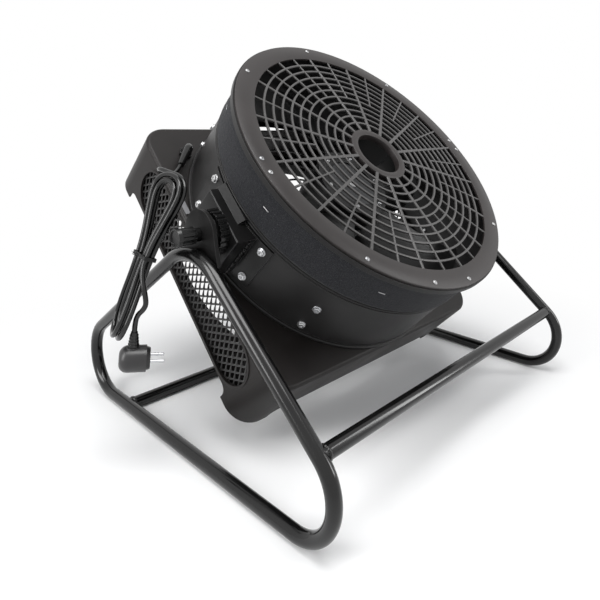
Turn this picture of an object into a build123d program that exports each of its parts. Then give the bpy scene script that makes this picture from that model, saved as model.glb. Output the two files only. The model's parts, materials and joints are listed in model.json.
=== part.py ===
"""Tilting drum fan on a bent-tube stand, with its mains lead tied in a hank.

Millimetres. +Z is up, the fan blows towards -Y and X runs along the tilt axis.
The origin is on the floor under the middle of the stand.
The head is drawn in its own frame: u along X, v up the face and w out of the face.
"""
import os
from math import cos, radians, sin, tan

from build123d import *

os.makedirs("parts", exist_ok=True)

# ---------------------------------------------------------------- stand
TUBE_D = 20.0  # outer diameter of every stand tube
TUBE_WALL = 1.5
LOOP_X = 329.0  # from the middle to the centre line of a side loop
BASE_LENGTH = 867.0  # along the floor between the loop's sharp corners
FRONT_LEAN = 39.9  # angle of the front upright to the floor
REAR_LEAN = 34.2  # angle of the rear upright to the floor
CORNER_BEND_R = 65.0
APEX_BEND_R = 90.0
FRONT_BAR_Z = 125.4  # height of the front crossbar
REAR_BAR_SETBACK = 266.7  # from the rear sharp corner to the rear crossbar
COPE_GAP = 0.1  # between a crossbar's coped end and the tube it is welded to

# ---------------------------------------------------------------- tilt pivot
PIVOT_RISE = 5.6  # pivot above the loop's sharp apex
PLATE_R = 36.0
PLATE_T = 6.0
PLATE_FOOT_HALF = 44.0  # half length of the plate's foot along the apex bend
PLATE_FOOT_H = 22.0
WASHER_R = 30.0
WASHER_T = 3.0
STUD_D = 10.0
STUD_CLEARANCE = 0.3  # round the stud in the holes it passes through
STUD_FIT = 0.05  # round the stud in its nut and its knob
SEAT_GAP = 0.3  # between bodies that turn against each other
KNOB_D = 25.0
KNOB_LENGTH = 23.0
KNOB_NECK_D = 19.0
KNOB_NECK_LENGTH = 9.0
KNOB_RIM_D = 28.0
KNOB_RIM_T = 5.5
KNOB_RIM_TAPER = 12.0
KNOB_DISH_D = 21.0
KNOB_DISH_DEPTH = 1.5
KNOB_FLUTES = 10
KNOB_FLUTE_D = 5.0
KNOB_FLUTE_OUT = 1.0  # flute centres outside the barrel

# ---------------------------------------------------------------- head
HEAD_TILT = 44.4  # rise of the blow in the resting pose
PIVOT_V = -30.2  # pivot below the drum axis, in the head's frame
PIVOT_W = -124.1  # pivot behind the face
DRUM_R = 262.0  # outside of the drum wall
DRUM_WALL = 2.0
FLANGE_R = 273.0  # rolled front flange of the drum
FLANGE_T = 3.0
FLANGE_LIP = 8.0
FLANGE_IN_R = 248.0
BEAD_R = 266.0  # rolled bead at the foot of the drum
BEAD_H = 6.0
BEAD_ROUND = 1.8
FOOT_FLANGE_T = 2.0
BAND_FRONT_W = -16.0
BAND_BACK_W = -80.0
BAND_T = 3.0
BAND_GAP = 0.2
RIDGES_W = (-84.5, -89.5)  # the two pressed ridges behind the band
RIDGE_R = 1.5

# ---------------------------------------------------------------- front guard
GUARD_T = 4.0
GUARD_R = 270.5
OPENING_R = 238.0
HUB_RING_R = 57.0
HUB_RING_IN_R = 43.0
HUB_RING_T = 12.0
RING_COUNT = 10
RING_WIDTH = 3.6
SPOKE_COUNT = 16
SPOKE_WIDTH_IN = 6.0  # at the hub ring
SPOKE_WIDTH_OUT = 4.2  # at the frame
HALF_SPOKE_WIDTH = 3.2
HALF_SPOKE_RING = 5  # half spokes run outwards from this ring
GUARD_TURN = 1.5  # degrees round from level to the first spoke
GRILLE_SINK = 0.6  # grille bars below the frame's front face
GRILLE_T = 3.0
GRILLE_ROOT = 1.0  # spokes run this far into the frame and the hub ring
SCREW_CIRCLE_R = 261.0
SCREW_ANGLES = [45.0 * step for step in range(8)] + [5.5, 185.5, 251.5]
SCREW_D = 4.0
SCREW_CLEARANCE = 0.15
SCREW_HEAD_D = 9.0
SCREW_HEAD_H = 2.2
SCREW_HEAD_TAPER = 25.0

# ---------------------------------------------------------------- housing
HOUSING_HALF_U = 275.0
HOUSING_TOP_V = 248.0
HOUSING_BOTTOM_V = -265.0
HOUSING_WALL = 3.0
HOUSING_CORNER_R = 45.0
HOUSING_EDGE_R = 6.0
PANEL_W = -200.0  # front face of the housing panel
PANEL_OPENING_R = 252.0
RIM_W = -302.0  # the rear rim between the corner feet
FOOT_W = -322.0  # the ends of the corner feet
FOOT_LENGTH = 58.0  # along each side from the corner
FOOT_BLEND_R = 14.0
WINDOW_LENGTH = 394.0
WINDOW_WIDTH = 84.0
WINDOW_MID_V = -20.0
WINDOW_MID_W = -252.0
WINDOW_LIP = 4.0
WINDOW_LIP_H = 1.5
MESH_T = 1.5
MESH_MARGIN = 3.0  # mesh behind the wall round the window
DIAMOND_LONG = 25.0  # across the window
DIAMOND_SHORT = 18.5
DIAMOND_PITCH_W = 29.0
DIAMOND_PITCH_V = 22.5

# ---------------------------------------------------------------- trunnion bracket
BRACKET_TURN = 184.1  # middle of the curved plate round the drum
BRACKET_ARC = 36.8
BRACKET_MID_W = -137.0
BRACKET_LENGTH = 90.0
BRACKET_T = 3.0
BRACKET_GAP = 0.2
BRACKET_BOLT_ARC = 15.2  # degrees from the middle to each bolt
BRACKET_BOLT_W = 32.0  # from the middle to each bolt row
SADDLE_U = 290.0
SADDLE_TOP_V = 24.0
SADDLE_BOTTOM_V = -71.0
SADDLE_INSET = 2.0
SADDLE_WALL = 4.0
SADDLE_DEPTH = 60.0  # wall length before it is cut to the drum
SADDLE_STRIP_W = 7.0
SADDLE_STRIP_H = 11.0
SADDLE_STRIP_TOP_V = 27.0
SADDLE_STRIP_BOTTOM_V = -42.0
BOSS_R = 34.0
BOSS_STEP_R = 26.0
BOSS_STEP_H = 5.0
BOSS_TEETH = 24
BOSS_TOOTH_D = 4.0
NUT_FLATS = 17.0
NUT_T = 8.0
BOLT_D = 6.0
BOLT_CLEARANCE = 0.2
BOLT_HEAD_D = 12.5
BOLT_HEAD_H = 4.5
BOLT_GRIP = 2.5  # shank beyond the sheets it joins

# ---------------------------------------------------------------- motor mount
ARM_COUNT = 4
ARM_TURN = 45.0
ARM_BOLTS_W = (-133.0, -179.0)
ARM_TAB_WIDTH = 26.0
ARM_TAB_T = 4.0
ARM_TAB_MARGIN = 9.0
ARM_WIDTH = 22.0
ARM_BACK_W = -190.0
ARM_T = 5.0
MOTOR_PLATE_R = 62.0
BEARING_TUBE_R = 20.0
BEARING_TUBE_FRONT_W = -102.0

# ---------------------------------------------------------------- motor and impeller
ROTOR_R = 70.0
ROTOR_WALL = 3.5
ROTOR_FRONT_W = -84.0
ROTOR_DEPTH = 78.0
ROTOR_EDGE_R = 2.5
AIR_GAP = 0.8
STATOR_FRONT_W = -106.0
STATOR_T = 44.0
STATOR_FIT = 0.05
COIL_R = 46.0
COIL_WIDTH = 20.0
COIL_H = 9.0
COIL_ROUND = 3.0
BEARING_R = 16.0
BEARING_T = 11.0
BEARING_FIT = 0.05
SHAFT_D = 15.0
SHAFT_FIT = 0.05
SHAFT_TAIL = 2.0
BLADE_COUNT = 5
BLADE_TIP_R = 251.0
BLADE_MID_W = -118.0
COLLAR_T = 3.5
COLLAR_LENGTH = 62.0
COLLAR_FLANGE_IN_R = 50.0
COLLAR_FLANGE_T = 3.0
COLLAR_FIT = 0.1
BLADE_T = 5.0
BLADE_CAMBER = 0.08  # rise of a blade's arc over its chord
BLADE_STATIONS = (  # share of the span, chord, pitch and sickle sweep
    (0.0, 84.0, 40.0, 0.0),
    (0.5, 112.0, 29.0, 4.0),
    (1.0, 138.0, 21.0, 14.0),
)
HUB_SCREWS = 6
HUB_SCREW_CIRCLE_R = 61.0
HUB_SCREW_D = 5.0
HUB_SCREW_HEAD_D = 9.0
HUB_SCREW_HEAD_H = 3.0

# ---------------------------------------------------------------- rear guard
REAR_RINGS_R = (30.0, 70.0, 110.0, 150.0, 190.0, 230.0)
REAR_BARS = 8
REAR_BAR_TURN = 22.5
REAR_BAR_R = 262.0
REAR_WIRE = 4.0

# ---------------------------------------------------------------- electrics
GLAND_U = -214.0
GLAND_V = 184.0
GLAND_D = 24.0
GLAND_FLANGE_T = 5.0
GLAND_DOME_D = 20.0
GLAND_DOME_TAPER = 14.0
GLAND_H = 10.0
GLAND_THREAD_D = 16.0
GLAND_FIT = 0.1
GLAND_NUT_FLATS = 24.0
GLAND_NUT_T = 5.0
RELIEF_D = 16.0
RELIEF_END_D = 11.0
RELIEF_BEND_R = 14.0  # quarter turn out of the gland
RELIEF_LENGTH = 44.0  # tapered length after the turn
RELIEF_LEAN = 40.7  # degrees from straight down the panel towards the side
BOX_SIDE = 60.0
BOX_H = 34.0
BOX_WALL = 2.5
BOX_CORNER_R = 5.0
BOX_U = -222.0
BOX_V = 195.0
LID_T = 3.0
CAPACITOR_D = 36.0
CAPACITOR_H = 70.0
CAPACITOR_ROUND = 3.0
CAPACITOR_U = 222.0
CAPACITOR_V = 195.0
CAPACITOR_FOOT_D = 44.0
CAPACITOR_FOOT_T = 3.0

# ---------------------------------------------------------------- mains lead
CORD_D = 7.0
CORD_SIDES = 8
HANK_SIDES = 6
BEND_SHARE = 0.45  # of the shorter run that a bend may take
LEAD_RUN_OUT = 22.0  # straight run out of the strain relief
LEAD_ROUTE = [(-300.0, 92.0, 412.0)]
LEAD_RUN_IN = 30.0  # last straight run before the hank
TAIL_RUN_OUT = 8.0  # first straight run after the hank
TAIL_ROUTE = [
    (-386.0, 7.0, 289.0),
    (-388.0, 1.0, 276.0),
    (-388.0, -4.0, 263.0),
    (-388.0, -6.0, 250.0),
    (-391.0, -1.0, 241.0),
    (-394.0, 6.0, 235.0),
    (-396.0, 11.0, 224.0),
    (-396.5, 13.0, 209.0),
]
HANK_STEPS = 16  # points in each turn
HANK_RUNS = 53  # from point to point; the last run stops half-way, at the tie
HANK_START = -11.25  # degrees before the top of the first turn
HANK_CENTRE = (-371.0, 29.0, 309.0)
HANK_UP = (0.34, -0.10, 0.93)
HANK_ACROSS = (0.12, -0.98, -0.15)
HANK_TWIST = -34.0  # degrees that the flat of the hank turns from its top to its foot
HANK_HALF_LENGTH = 125.0
HANK_LENGTH_STEP = 9.0  # each turn inwards is this much shorter
HANK_LOBE = 84.0
HANK_LOBE_STEP = 20.0
HANK_WAIST = 18.0
HANK_WAIST_STEP = 8.0
HANK_LAYER = 4.0  # from the middle to each of the two layers
TIE_MID = 2.2
TIE_INNER_LENGTH = 43.4
TIE_INNER_WIDTH = 16.0
TIE_T = 1.5
TIE_WIDTH = 5.0
SLEEVE_LENGTH = 22.0
SLEEVE_TOP_D = 9.0
SLEEVE_D = 14.0
SLEEVE_RIBS = 4
SLEEVE_RIB_H = 0.8
SLEEVE_RIB_LENGTH = 2.2
PLUG_D = 37.0
PLUG_LENGTH = 36.0
PLUG_BACK_R = 12.0
PLUG_NECK_D = 18.0
PLUG_COLLAR_D = 33.0
PLUG_COLLAR_T = 5.0
PLUG_COLLAR_TAPER = 20.0
PLUG_FACING = (0.85, -0.42, -0.3)
PIN_D = 4.8
PIN_LENGTH = 19.0
PIN_SPACING = 19.0
PIN_GRIP = 2.0
PIN_FIT = 0.05
PIN_ROUND = 1.2

# ---------------------------------------------------------------- frames worked out from the sizes
TUBE_R = TUBE_D / 2
front_bend_reach = CORNER_BEND_R * tan(radians(180 - FRONT_LEAN) / 2)
rear_bend_reach = CORNER_BEND_R * tan(radians(180 - REAR_LEAN) / 2)
front_corner_y = -(BASE_LENGTH + front_bend_reach - rear_bend_reach) / 2
rear_corner_y = front_corner_y + BASE_LENGTH
front_share = tan(radians(REAR_LEAN)) / (tan(radians(FRONT_LEAN)) + tan(radians(REAR_LEAN)))
apex_y = front_corner_y + BASE_LENGTH * front_share
apex_z = TUBE_R + BASE_LENGTH * front_share * tan(radians(FRONT_LEAN))
front_bar_y = front_corner_y + (FRONT_BAR_Z - TUBE_R) / tan(radians(FRONT_LEAN))
rear_bar_y = rear_corner_y - REAR_BAR_SETBACK
pivot_y = apex_y
pivot_z = apex_z + PIVOT_RISE
half_apex_turn = radians(FRONT_LEAN + REAR_LEAN) / 2
apex_tube_drop = APEX_BEND_R * (1 / cos(half_apex_turn) - 1)

across_dir = Vector(1, 0, 0)
out_dir = Vector(0, -cos(radians(HEAD_TILT)), sin(radians(HEAD_TILT)))
up_dir = Vector(0, sin(radians(HEAD_TILT)), cos(radians(HEAD_TILT)))
face_centre = Vector(0, pivot_y, pivot_z) - up_dir * PIVOT_V - out_dir * PIVOT_W
face = Plane(origin=face_centre, x_dir=across_dir, z_dir=out_dir)
drum_axis = Axis(face_centre, out_dir)
profile = Plane(origin=face_centre, x_dir=across_dir, z_dir=-up_dir)  # x is the radius, y is w

plate_out_x = LOOP_X - TUBE_R - COPE_GAP
washer_out_x = plate_out_x - PLATE_T
boss_out_x = washer_out_x - WASHER_T - SEAT_GAP


def head_point(u, v, w):
    """A point given in the head's frame."""
    return face_centre + across_dir * u + up_dir * v + out_dir * w


def outward(angle):
    """The direction out of the drum wall at an angle round the drum."""
    return across_dir * cos(radians(angle)) + up_dir * sin(radians(angle))


def wall_plane(angle, radius, w):
    """The plane that faces out of the drum wall: its x is w."""
    origin = face_centre + outward(angle) * radius + out_dir * w
    return Plane(origin=origin, x_dir=out_dir, z_dir=outward(angle))


def blade_station(angle, radius, pitch):
    """The plane across a blade at a radius: its x is the chord."""
    around = out_dir.cross(outward(angle))
    chord_dir = around * cos(radians(pitch)) + out_dir * sin(radians(pitch))
    origin = face_centre + outward(angle) * radius + out_dir * BLADE_MID_W
    return Plane(origin=origin, x_dir=chord_dir, z_dir=outward(angle))


def wall_side(side, u, v=0.0, w=0.0):
    """The plane of a side wall, facing outwards: its x is v."""
    return Plane(origin=head_point(side * u, v, w), x_dir=up_dir, z_dir=across_dir * side)


def keep(piece, name):
    """Label a finished piece and write its file."""
    piece.part.label = name
    export_step(piece.part, f"parts/{name}.step")


def mirrored(piece):
    """The same piece on the other side of the fan."""
    with BuildPart() as other:
        mirror(piece.part, about=Plane.YZ)
    return other


def hex_bolt(plane, length):
    """A hex bolt: its shank runs back from the plane and its head stands on it."""
    with BuildPart() as fastener:
        with BuildSketch(plane):
            Circle(BOLT_D / 2)
        extrude(amount=-length)
        with BuildSketch(plane):
            RegularPolygon(BOLT_HEAD_D / 2, 6)
        extrude(amount=BOLT_HEAD_H)
    return fastener.part


def pan_screw(plane, diameter, length, head_d, head_h):
    """A screw with a round, drafted head that stands on the plane."""
    with BuildPart() as fastener:
        with BuildSketch(plane):
            Circle(diameter / 2)
        extrude(amount=-length)
        with BuildSketch(plane):
            Circle(head_d / 2)
        extrude(amount=head_h, taper=SCREW_HEAD_TAPER)
    return fastener.part


def cord_radii(points):
    """The largest bend radius that each corner of a route allows."""
    radii = []
    for before, corner, after in zip(points, points[1:], points[2:]):
        arriving = corner - before
        leaving = after - corner
        half_turn = radians(arriving.get_angle(leaving)) / 2
        radii.append(BEND_SHARE * min(arriving.length, leaving.length) / tan(half_turn))
    return radii


def cord_tube(points, sides):
    """A cord along straight runs joined by tangent bends, and the length of its line."""
    with BuildPart() as tube:
        with BuildLine() as route:
            FilletPolyline(*points, radius=cord_radii(points))
        with BuildSketch(Plane(origin=route.line @ 0, z_dir=route.line % 0)) as section:
            RegularPolygon(CORD_D / 2, sides)
        sweep(path=route.line)
    length = sum(edge.length for edge in route.edges())
    volume_share = tube.part.volume / (section.sketch.area * length)
    print(f"cord stretch {length:.0f} mm, volume {volume_share:.4f} of expected")
    return tube, length


# ---------------------------------------------------------------- stand
def side_loop(x, radius):
    """A closed loop of round bar that follows the side of the stand."""
    with BuildPart() as loop:
        with BuildLine(Plane.YZ.offset(x)) as loop_path:
            FilletPolyline(
                (front_corner_y, TUBE_R),
                (apex_y, apex_z),
                (rear_corner_y, TUBE_R),
                radius=[CORNER_BEND_R, APEX_BEND_R, CORNER_BEND_R],
                close=True,
            )
        with BuildSketch(Plane(origin=loop_path.line @ 0, z_dir=loop_path.line % 0)):
            Circle(radius)
        sweep(path=loop_path.line)
    return loop


left_loop = side_loop(-LOOP_X, TUBE_R)
keep(left_loop, "left_side_loop")
keep(mirrored(left_loop), "right_side_loop")
left_cope = side_loop(-LOOP_X, TUBE_R + COPE_GAP)
copes = [left_cope.part, mirrored(left_cope).part]


def crossbar(y, z):
    """A straight tube between the loops, with its ends coped round them."""
    with BuildPart() as bar:
        with BuildSketch(Plane(origin=(-LOOP_X, y, z), z_dir=(1, 0, 0))):
            Circle(TUBE_R)
            Circle(TUBE_R - TUBE_WALL, mode=Mode.SUBTRACT)
        extrude(amount=2 * LOOP_X)
        add(copes, mode=Mode.SUBTRACT)
    return bar


keep(crossbar(front_bar_y, FRONT_BAR_Z), "front_crossbar")
keep(crossbar(rear_bar_y, TUBE_R), "rear_crossbar")

plate_plane = Plane(origin=(-plate_out_x, pivot_y, pivot_z), x_dir=(0, 1, 0), z_dir=(1, 0, 0))
foot_drop = PIVOT_RISE + apex_tube_drop
with BuildPart() as left_plate:
    with BuildSketch(plate_plane):
        Circle(PLATE_R)
        with BuildLine():
            Polyline(
                (-PLATE_R, 0),
                (-PLATE_FOOT_HALF, -foot_drop - PLATE_FOOT_H / 2),
                (0, -foot_drop - TUBE_R),
                (PLATE_FOOT_HALF, -foot_drop - PLATE_FOOT_H / 2),
                (PLATE_R, 0),
                close=True,
            )
        make_face()
        Circle(STUD_D / 2 + STUD_CLEARANCE, mode=Mode.SUBTRACT)
    extrude(amount=PLATE_T)
keep(left_plate, "left_pivot_plate")
keep(mirrored(left_plate), "right_pivot_plate")

with BuildPart() as left_washer:
    with BuildSketch(plate_plane.offset(PLATE_T)):
        Circle(WASHER_R)
        Circle(STUD_D / 2 + STUD_CLEARANCE, mode=Mode.SUBTRACT)
    extrude(amount=WASHER_T)
keep(left_washer, "left_friction_washer")
keep(mirrored(left_washer), "right_friction_washer")

# ---------------------------------------------------------------- clamp knobs
knob_plane = Plane(origin=(-plate_out_x - SEAT_GAP, pivot_y, pivot_z), x_dir=(0, 1, 0), z_dir=(-1, 0, 0))
barrel_plane = knob_plane.offset(KNOB_NECK_LENGTH)
rim_plane = barrel_plane.offset(KNOB_LENGTH)
with BuildPart() as left_knob:
    with BuildSketch(knob_plane):
        Circle(KNOB_NECK_D / 2)
    extrude(amount=KNOB_NECK_LENGTH)
    with BuildSketch(barrel_plane):
        Circle(KNOB_D / 2)
        with PolarLocations(KNOB_D / 2 + KNOB_FLUTE_OUT, KNOB_FLUTES):
            Circle(KNOB_FLUTE_D / 2, mode=Mode.SUBTRACT)
    extrude(amount=KNOB_LENGTH)
    with BuildSketch(rim_plane):
        Circle(KNOB_RIM_D / 2)
    extrude(amount=KNOB_RIM_T, taper=KNOB_RIM_TAPER)
    with BuildSketch(rim_plane.offset(KNOB_RIM_T)):
        Circle(KNOB_DISH_D / 2)
    extrude(amount=-KNOB_DISH_DEPTH, mode=Mode.SUBTRACT)
    with BuildSketch(knob_plane):
        Circle(STUD_D / 2 + STUD_FIT)
    extrude(amount=KNOB_NECK_LENGTH + KNOB_LENGTH / 2, mode=Mode.SUBTRACT)
keep(left_knob, "left_clamp_knob")
keep(mirrored(left_knob), "right_clamp_knob")

stud_top = KNOB_NECK_LENGTH + KNOB_LENGTH / 2
stud_reach = plate_out_x + SEAT_GAP - SADDLE_U + SADDLE_WALL + NUT_T
with BuildPart() as left_stud:
    with BuildSketch(knob_plane.offset(stud_top)):
        Circle(STUD_D / 2)
    extrude(amount=-stud_top - stud_reach)
keep(left_stud, "left_clamp_stud")
keep(mirrored(left_stud), "right_clamp_stud")

# ---------------------------------------------------------------- drum
bracket_turns = (BRACKET_TURN, 180 - BRACKET_TURN)
bracket_bolt_places = [
    (turn + arc, BRACKET_MID_W + row)
    for turn in bracket_turns
    for arc in (-BRACKET_BOLT_ARC, BRACKET_BOLT_ARC)
    for row in (-BRACKET_BOLT_W, BRACKET_BOLT_W)
]
arm_angles = [ARM_TURN + 360 / ARM_COUNT * arm for arm in range(ARM_COUNT)]
arm_bolt_places = [(angle, bolt_w) for angle in arm_angles for bolt_w in ARM_BOLTS_W]
with BuildPart() as drum:
    with BuildSketch(profile):
        with Locations((DRUM_R - DRUM_WALL / 2, (PANEL_W - GUARD_T) / 2)):
            Rectangle(DRUM_WALL, -PANEL_W - GUARD_T)
        with Locations(((FLANGE_IN_R + FLANGE_R) / 2, -GUARD_T - FLANGE_T / 2)):
            Rectangle(FLANGE_R - FLANGE_IN_R, FLANGE_T)
        with Locations((FLANGE_R - FLANGE_T / 2, -GUARD_T - FLANGE_LIP / 2)):
            Rectangle(FLANGE_T, FLANGE_LIP)
        with Locations(((DRUM_R + BEAD_R - DRUM_WALL) / 2, PANEL_W + BEAD_H / 2)):
            RectangleRounded(BEAD_R - DRUM_R + DRUM_WALL, BEAD_H, BEAD_ROUND)
        with Locations(((PANEL_OPENING_R + DRUM_R) / 2, PANEL_W + FOOT_FLANGE_T / 2)):
            Rectangle(DRUM_R - PANEL_OPENING_R, FOOT_FLANGE_T)
        for ridge_w in RIDGES_W:
            with Locations((DRUM_R, ridge_w)):
                Circle(RIDGE_R)
    revolve(axis=drum_axis)
    for angle in SCREW_ANGLES:
        with BuildSketch(face.offset(-GUARD_T)):
            with PolarLocations(SCREW_CIRCLE_R, 1, start_angle=angle):
                Circle(SCREW_D / 2 + SCREW_CLEARANCE)
        extrude(amount=-FLANGE_T, mode=Mode.SUBTRACT)
    for angle, bolt_w in bracket_bolt_places + arm_bolt_places:
        with BuildSketch(wall_plane(angle, DRUM_R + DRUM_WALL, bolt_w)):
            Circle(BOLT_D / 2 + BOLT_CLEARANCE)
        extrude(amount=-3 * DRUM_WALL, mode=Mode.SUBTRACT)
keep(drum, "drum")

band_in_r = DRUM_R + BAND_GAP
with BuildPart() as hook_band:
    with BuildSketch(face.offset(BAND_BACK_W)):
        Circle(band_in_r + BAND_T)
        Circle(band_in_r, mode=Mode.SUBTRACT)
    extrude(amount=BAND_FRONT_W - BAND_BACK_W)
keep(hook_band, "hook_band")

# ---------------------------------------------------------------- front guard
ring_step = (OPENING_R - HUB_RING_R) / (RING_COUNT + 1)
rings_r = [HUB_RING_R + ring_step * (index + 1) for index in range(RING_COUNT)]
spoke_in = HUB_RING_R - GRILLE_ROOT
spoke_out = OPENING_R + GRILLE_ROOT
half_spoke_in = rings_r[HALF_SPOKE_RING - 1]
with BuildPart() as front_guard:
    with BuildSketch(face.offset(-GRILLE_SINK)):
        for ring_r in rings_r:
            Circle(ring_r + RING_WIDTH / 2)
            Circle(ring_r - RING_WIDTH / 2, mode=Mode.SUBTRACT)
        with PolarLocations(0, SPOKE_COUNT, start_angle=GUARD_TURN):
            Polygon(
                (spoke_in, -SPOKE_WIDTH_IN / 2),
                (spoke_out, -SPOKE_WIDTH_OUT / 2),
                (spoke_out, SPOKE_WIDTH_OUT / 2),
                (spoke_in, SPOKE_WIDTH_IN / 2),
                align=None,
            )
        half_turn = 180 / SPOKE_COUNT
        with PolarLocations((half_spoke_in + spoke_out) / 2, SPOKE_COUNT, start_angle=GUARD_TURN + half_turn):
            Rectangle(spoke_out - half_spoke_in, HALF_SPOKE_WIDTH)
    extrude(amount=-GRILLE_T)
    with BuildSketch(face):
        Circle(GUARD_R)
        Circle(OPENING_R, mode=Mode.SUBTRACT)
        for angle in SCREW_ANGLES:
            with PolarLocations(SCREW_CIRCLE_R, 1, start_angle=angle):
                Circle(SCREW_D / 2 + SCREW_CLEARANCE, mode=Mode.SUBTRACT)
    extrude(amount=-GUARD_T)
    with BuildSketch(face):
        Circle(HUB_RING_R)
        Circle(HUB_RING_IN_R, mode=Mode.SUBTRACT)
    extrude(amount=-HUB_RING_T)
keep(front_guard, "front_guard")

with BuildPart() as guard_screws:
    for angle in SCREW_ANGLES:
        seat = Plane(origin=face_centre + outward(angle) * SCREW_CIRCLE_R, z_dir=out_dir)
        add(pan_screw(seat, SCREW_D, GUARD_T + FLANGE_T, SCREW_HEAD_D, SCREW_HEAD_H))
keep(guard_screws, "guard_screws")

# ---------------------------------------------------------------- housing
housing_mid_v = (HOUSING_TOP_V + HOUSING_BOTTOM_V) / 2
housing_height = HOUSING_TOP_V - HOUSING_BOTTOM_V
housing_depth = PANEL_W - FOOT_W
panel = Plane(origin=head_point(0, housing_mid_v, PANEL_W), x_dir=across_dir, z_dir=out_dir)
panel_back_w = PANEL_W - HOUSING_WALL
notch_height = 2 * (RIM_W - FOOT_W) + 2 * FOOT_BLEND_R
notch_origin = head_point(0, housing_mid_v, RIM_W - notch_height / 2)
with BuildPart() as housing:
    with BuildSketch(panel):
        RectangleRounded(2 * HOUSING_HALF_U, housing_height, HOUSING_CORNER_R)
    extrude(amount=-housing_depth)
    fillet(housing.faces().sort_by(drum_axis)[-1].edges(), HOUSING_EDGE_R)
    with BuildSketch(panel.offset(-HOUSING_WALL)):
        RectangleRounded(
            2 * (HOUSING_HALF_U - HOUSING_WALL),
            housing_height - 2 * HOUSING_WALL,
            HOUSING_CORNER_R - HOUSING_WALL,
        )
    extrude(amount=-housing_depth, mode=Mode.SUBTRACT)
    with BuildSketch(face.offset(PANEL_W)):
        Circle(PANEL_OPENING_R)
        with Locations((GLAND_U, GLAND_V)):
            Circle(GLAND_THREAD_D / 2 + GLAND_FIT)
    extrude(amount=-2 * HOUSING_WALL, mode=Mode.SUBTRACT)
    with BuildSketch(Plane(origin=notch_origin, x_dir=across_dir, z_dir=up_dir)):
        RectangleRounded(2 * (HOUSING_HALF_U - FOOT_LENGTH), notch_height, FOOT_BLEND_R)
    extrude(amount=housing_height, both=True, mode=Mode.SUBTRACT)
    with BuildSketch(Plane(origin=notch_origin, x_dir=up_dir, z_dir=across_dir)):
        RectangleRounded(housing_height - 2 * FOOT_LENGTH, notch_height, FOOT_BLEND_R)
    extrude(amount=2 * HOUSING_HALF_U, both=True, mode=Mode.SUBTRACT)
    for side in (-1, 1):
        with BuildSketch(wall_side(side, HOUSING_HALF_U, WINDOW_MID_V, WINDOW_MID_W)):
            SlotOverall(WINDOW_LENGTH + 2 * WINDOW_LIP, WINDOW_WIDTH + 2 * WINDOW_LIP)
        extrude(amount=WINDOW_LIP_H)
        with BuildSketch(wall_side(side, HOUSING_HALF_U - 2 * HOUSING_WALL, WINDOW_MID_V, WINDOW_MID_W)):
            SlotOverall(WINDOW_LENGTH, WINDOW_WIDTH)
        extrude(amount=4 * HOUSING_WALL, mode=Mode.SUBTRACT)
keep(housing, "housing_shell")


def in_window(v, w):
    """Whether a point, counted from the window's middle, lies inside its outline."""
    end_r = WINDOW_WIDTH / 2
    beyond = max(abs(v) - (WINDOW_LENGTH / 2 - end_r), 0)
    return (beyond**2 + w**2) ** 0.5 < end_r


def whole_diamond(v, w):
    """Whether a diamond round this point lies wholly inside the window."""
    tips = [(v + DIAMOND_SHORT / 2, w), (v - DIAMOND_SHORT / 2, w)]
    tips += [(v, w + DIAMOND_LONG / 2), (v, w - DIAMOND_LONG / 2)]
    return all(in_window(*tip) for tip in tips)


diamond_places = []
columns = int(WINDOW_LENGTH / DIAMOND_PITCH_V) + 2
rows = int(WINDOW_WIDTH / DIAMOND_PITCH_W) + 2
for column in range(-columns, columns + 1):
    for row in range(-rows, rows + 1):
        place = (column * DIAMOND_PITCH_V / 2, row * DIAMOND_PITCH_W / 2)
        if (column + row) % 2 == 0 and whole_diamond(*place):
            diamond_places.append(place)

with BuildPart() as left_mesh:
    with BuildSketch(wall_side(-1, HOUSING_HALF_U - HOUSING_WALL, WINDOW_MID_V, WINDOW_MID_W)):
        SlotOverall(WINDOW_LENGTH + 2 * MESH_MARGIN, WINDOW_WIDTH + 2 * MESH_MARGIN)
        with Locations(*diamond_places):
            Polygon(
                (DIAMOND_SHORT / 2, 0),
                (0, DIAMOND_LONG / 2),
                (-DIAMOND_SHORT / 2, 0),
                (0, -DIAMOND_LONG / 2),
                mode=Mode.SUBTRACT,
            )
    extrude(amount=-MESH_T)
keep(left_mesh, "left_intake_mesh")
keep(mirrored(left_mesh), "right_intake_mesh")
print(len(diamond_places), "diamonds in each mesh")

# ---------------------------------------------------------------- trunnion brackets
bracket_in_r = DRUM_R + BRACKET_GAP
bracket_out_r = bracket_in_r + BRACKET_T
bracket_front_w = BRACKET_MID_W + BRACKET_LENGTH / 2
bracket_start = outward(BRACKET_TURN - BRACKET_ARC / 2)
bracket_profile = Plane(origin=face_centre, x_dir=bracket_start, z_dir=bracket_start.cross(out_dir))
saddle_height = SADDLE_TOP_V - SADDLE_BOTTOM_V
saddle_length = BRACKET_LENGTH - 2 * SADDLE_INSET
saddle_mid_v = (SADDLE_TOP_V + SADDLE_BOTTOM_V) / 2
saddle_front_w = bracket_front_w - SADDLE_INSET - SADDLE_WALL / 2
web = Plane(origin=head_point(-SADDLE_U, saddle_mid_v, BRACKET_MID_W), x_dir=up_dir, z_dir=across_dir)
strip_mid_v = (SADDLE_STRIP_TOP_V + SADDLE_STRIP_BOTTOM_V) / 2
strip_height = SADDLE_STRIP_TOP_V - SADDLE_STRIP_BOTTOM_V
strip_plane = Plane(origin=head_point(0, strip_mid_v, 0), x_dir=across_dir, z_dir=-up_dir)
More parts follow.
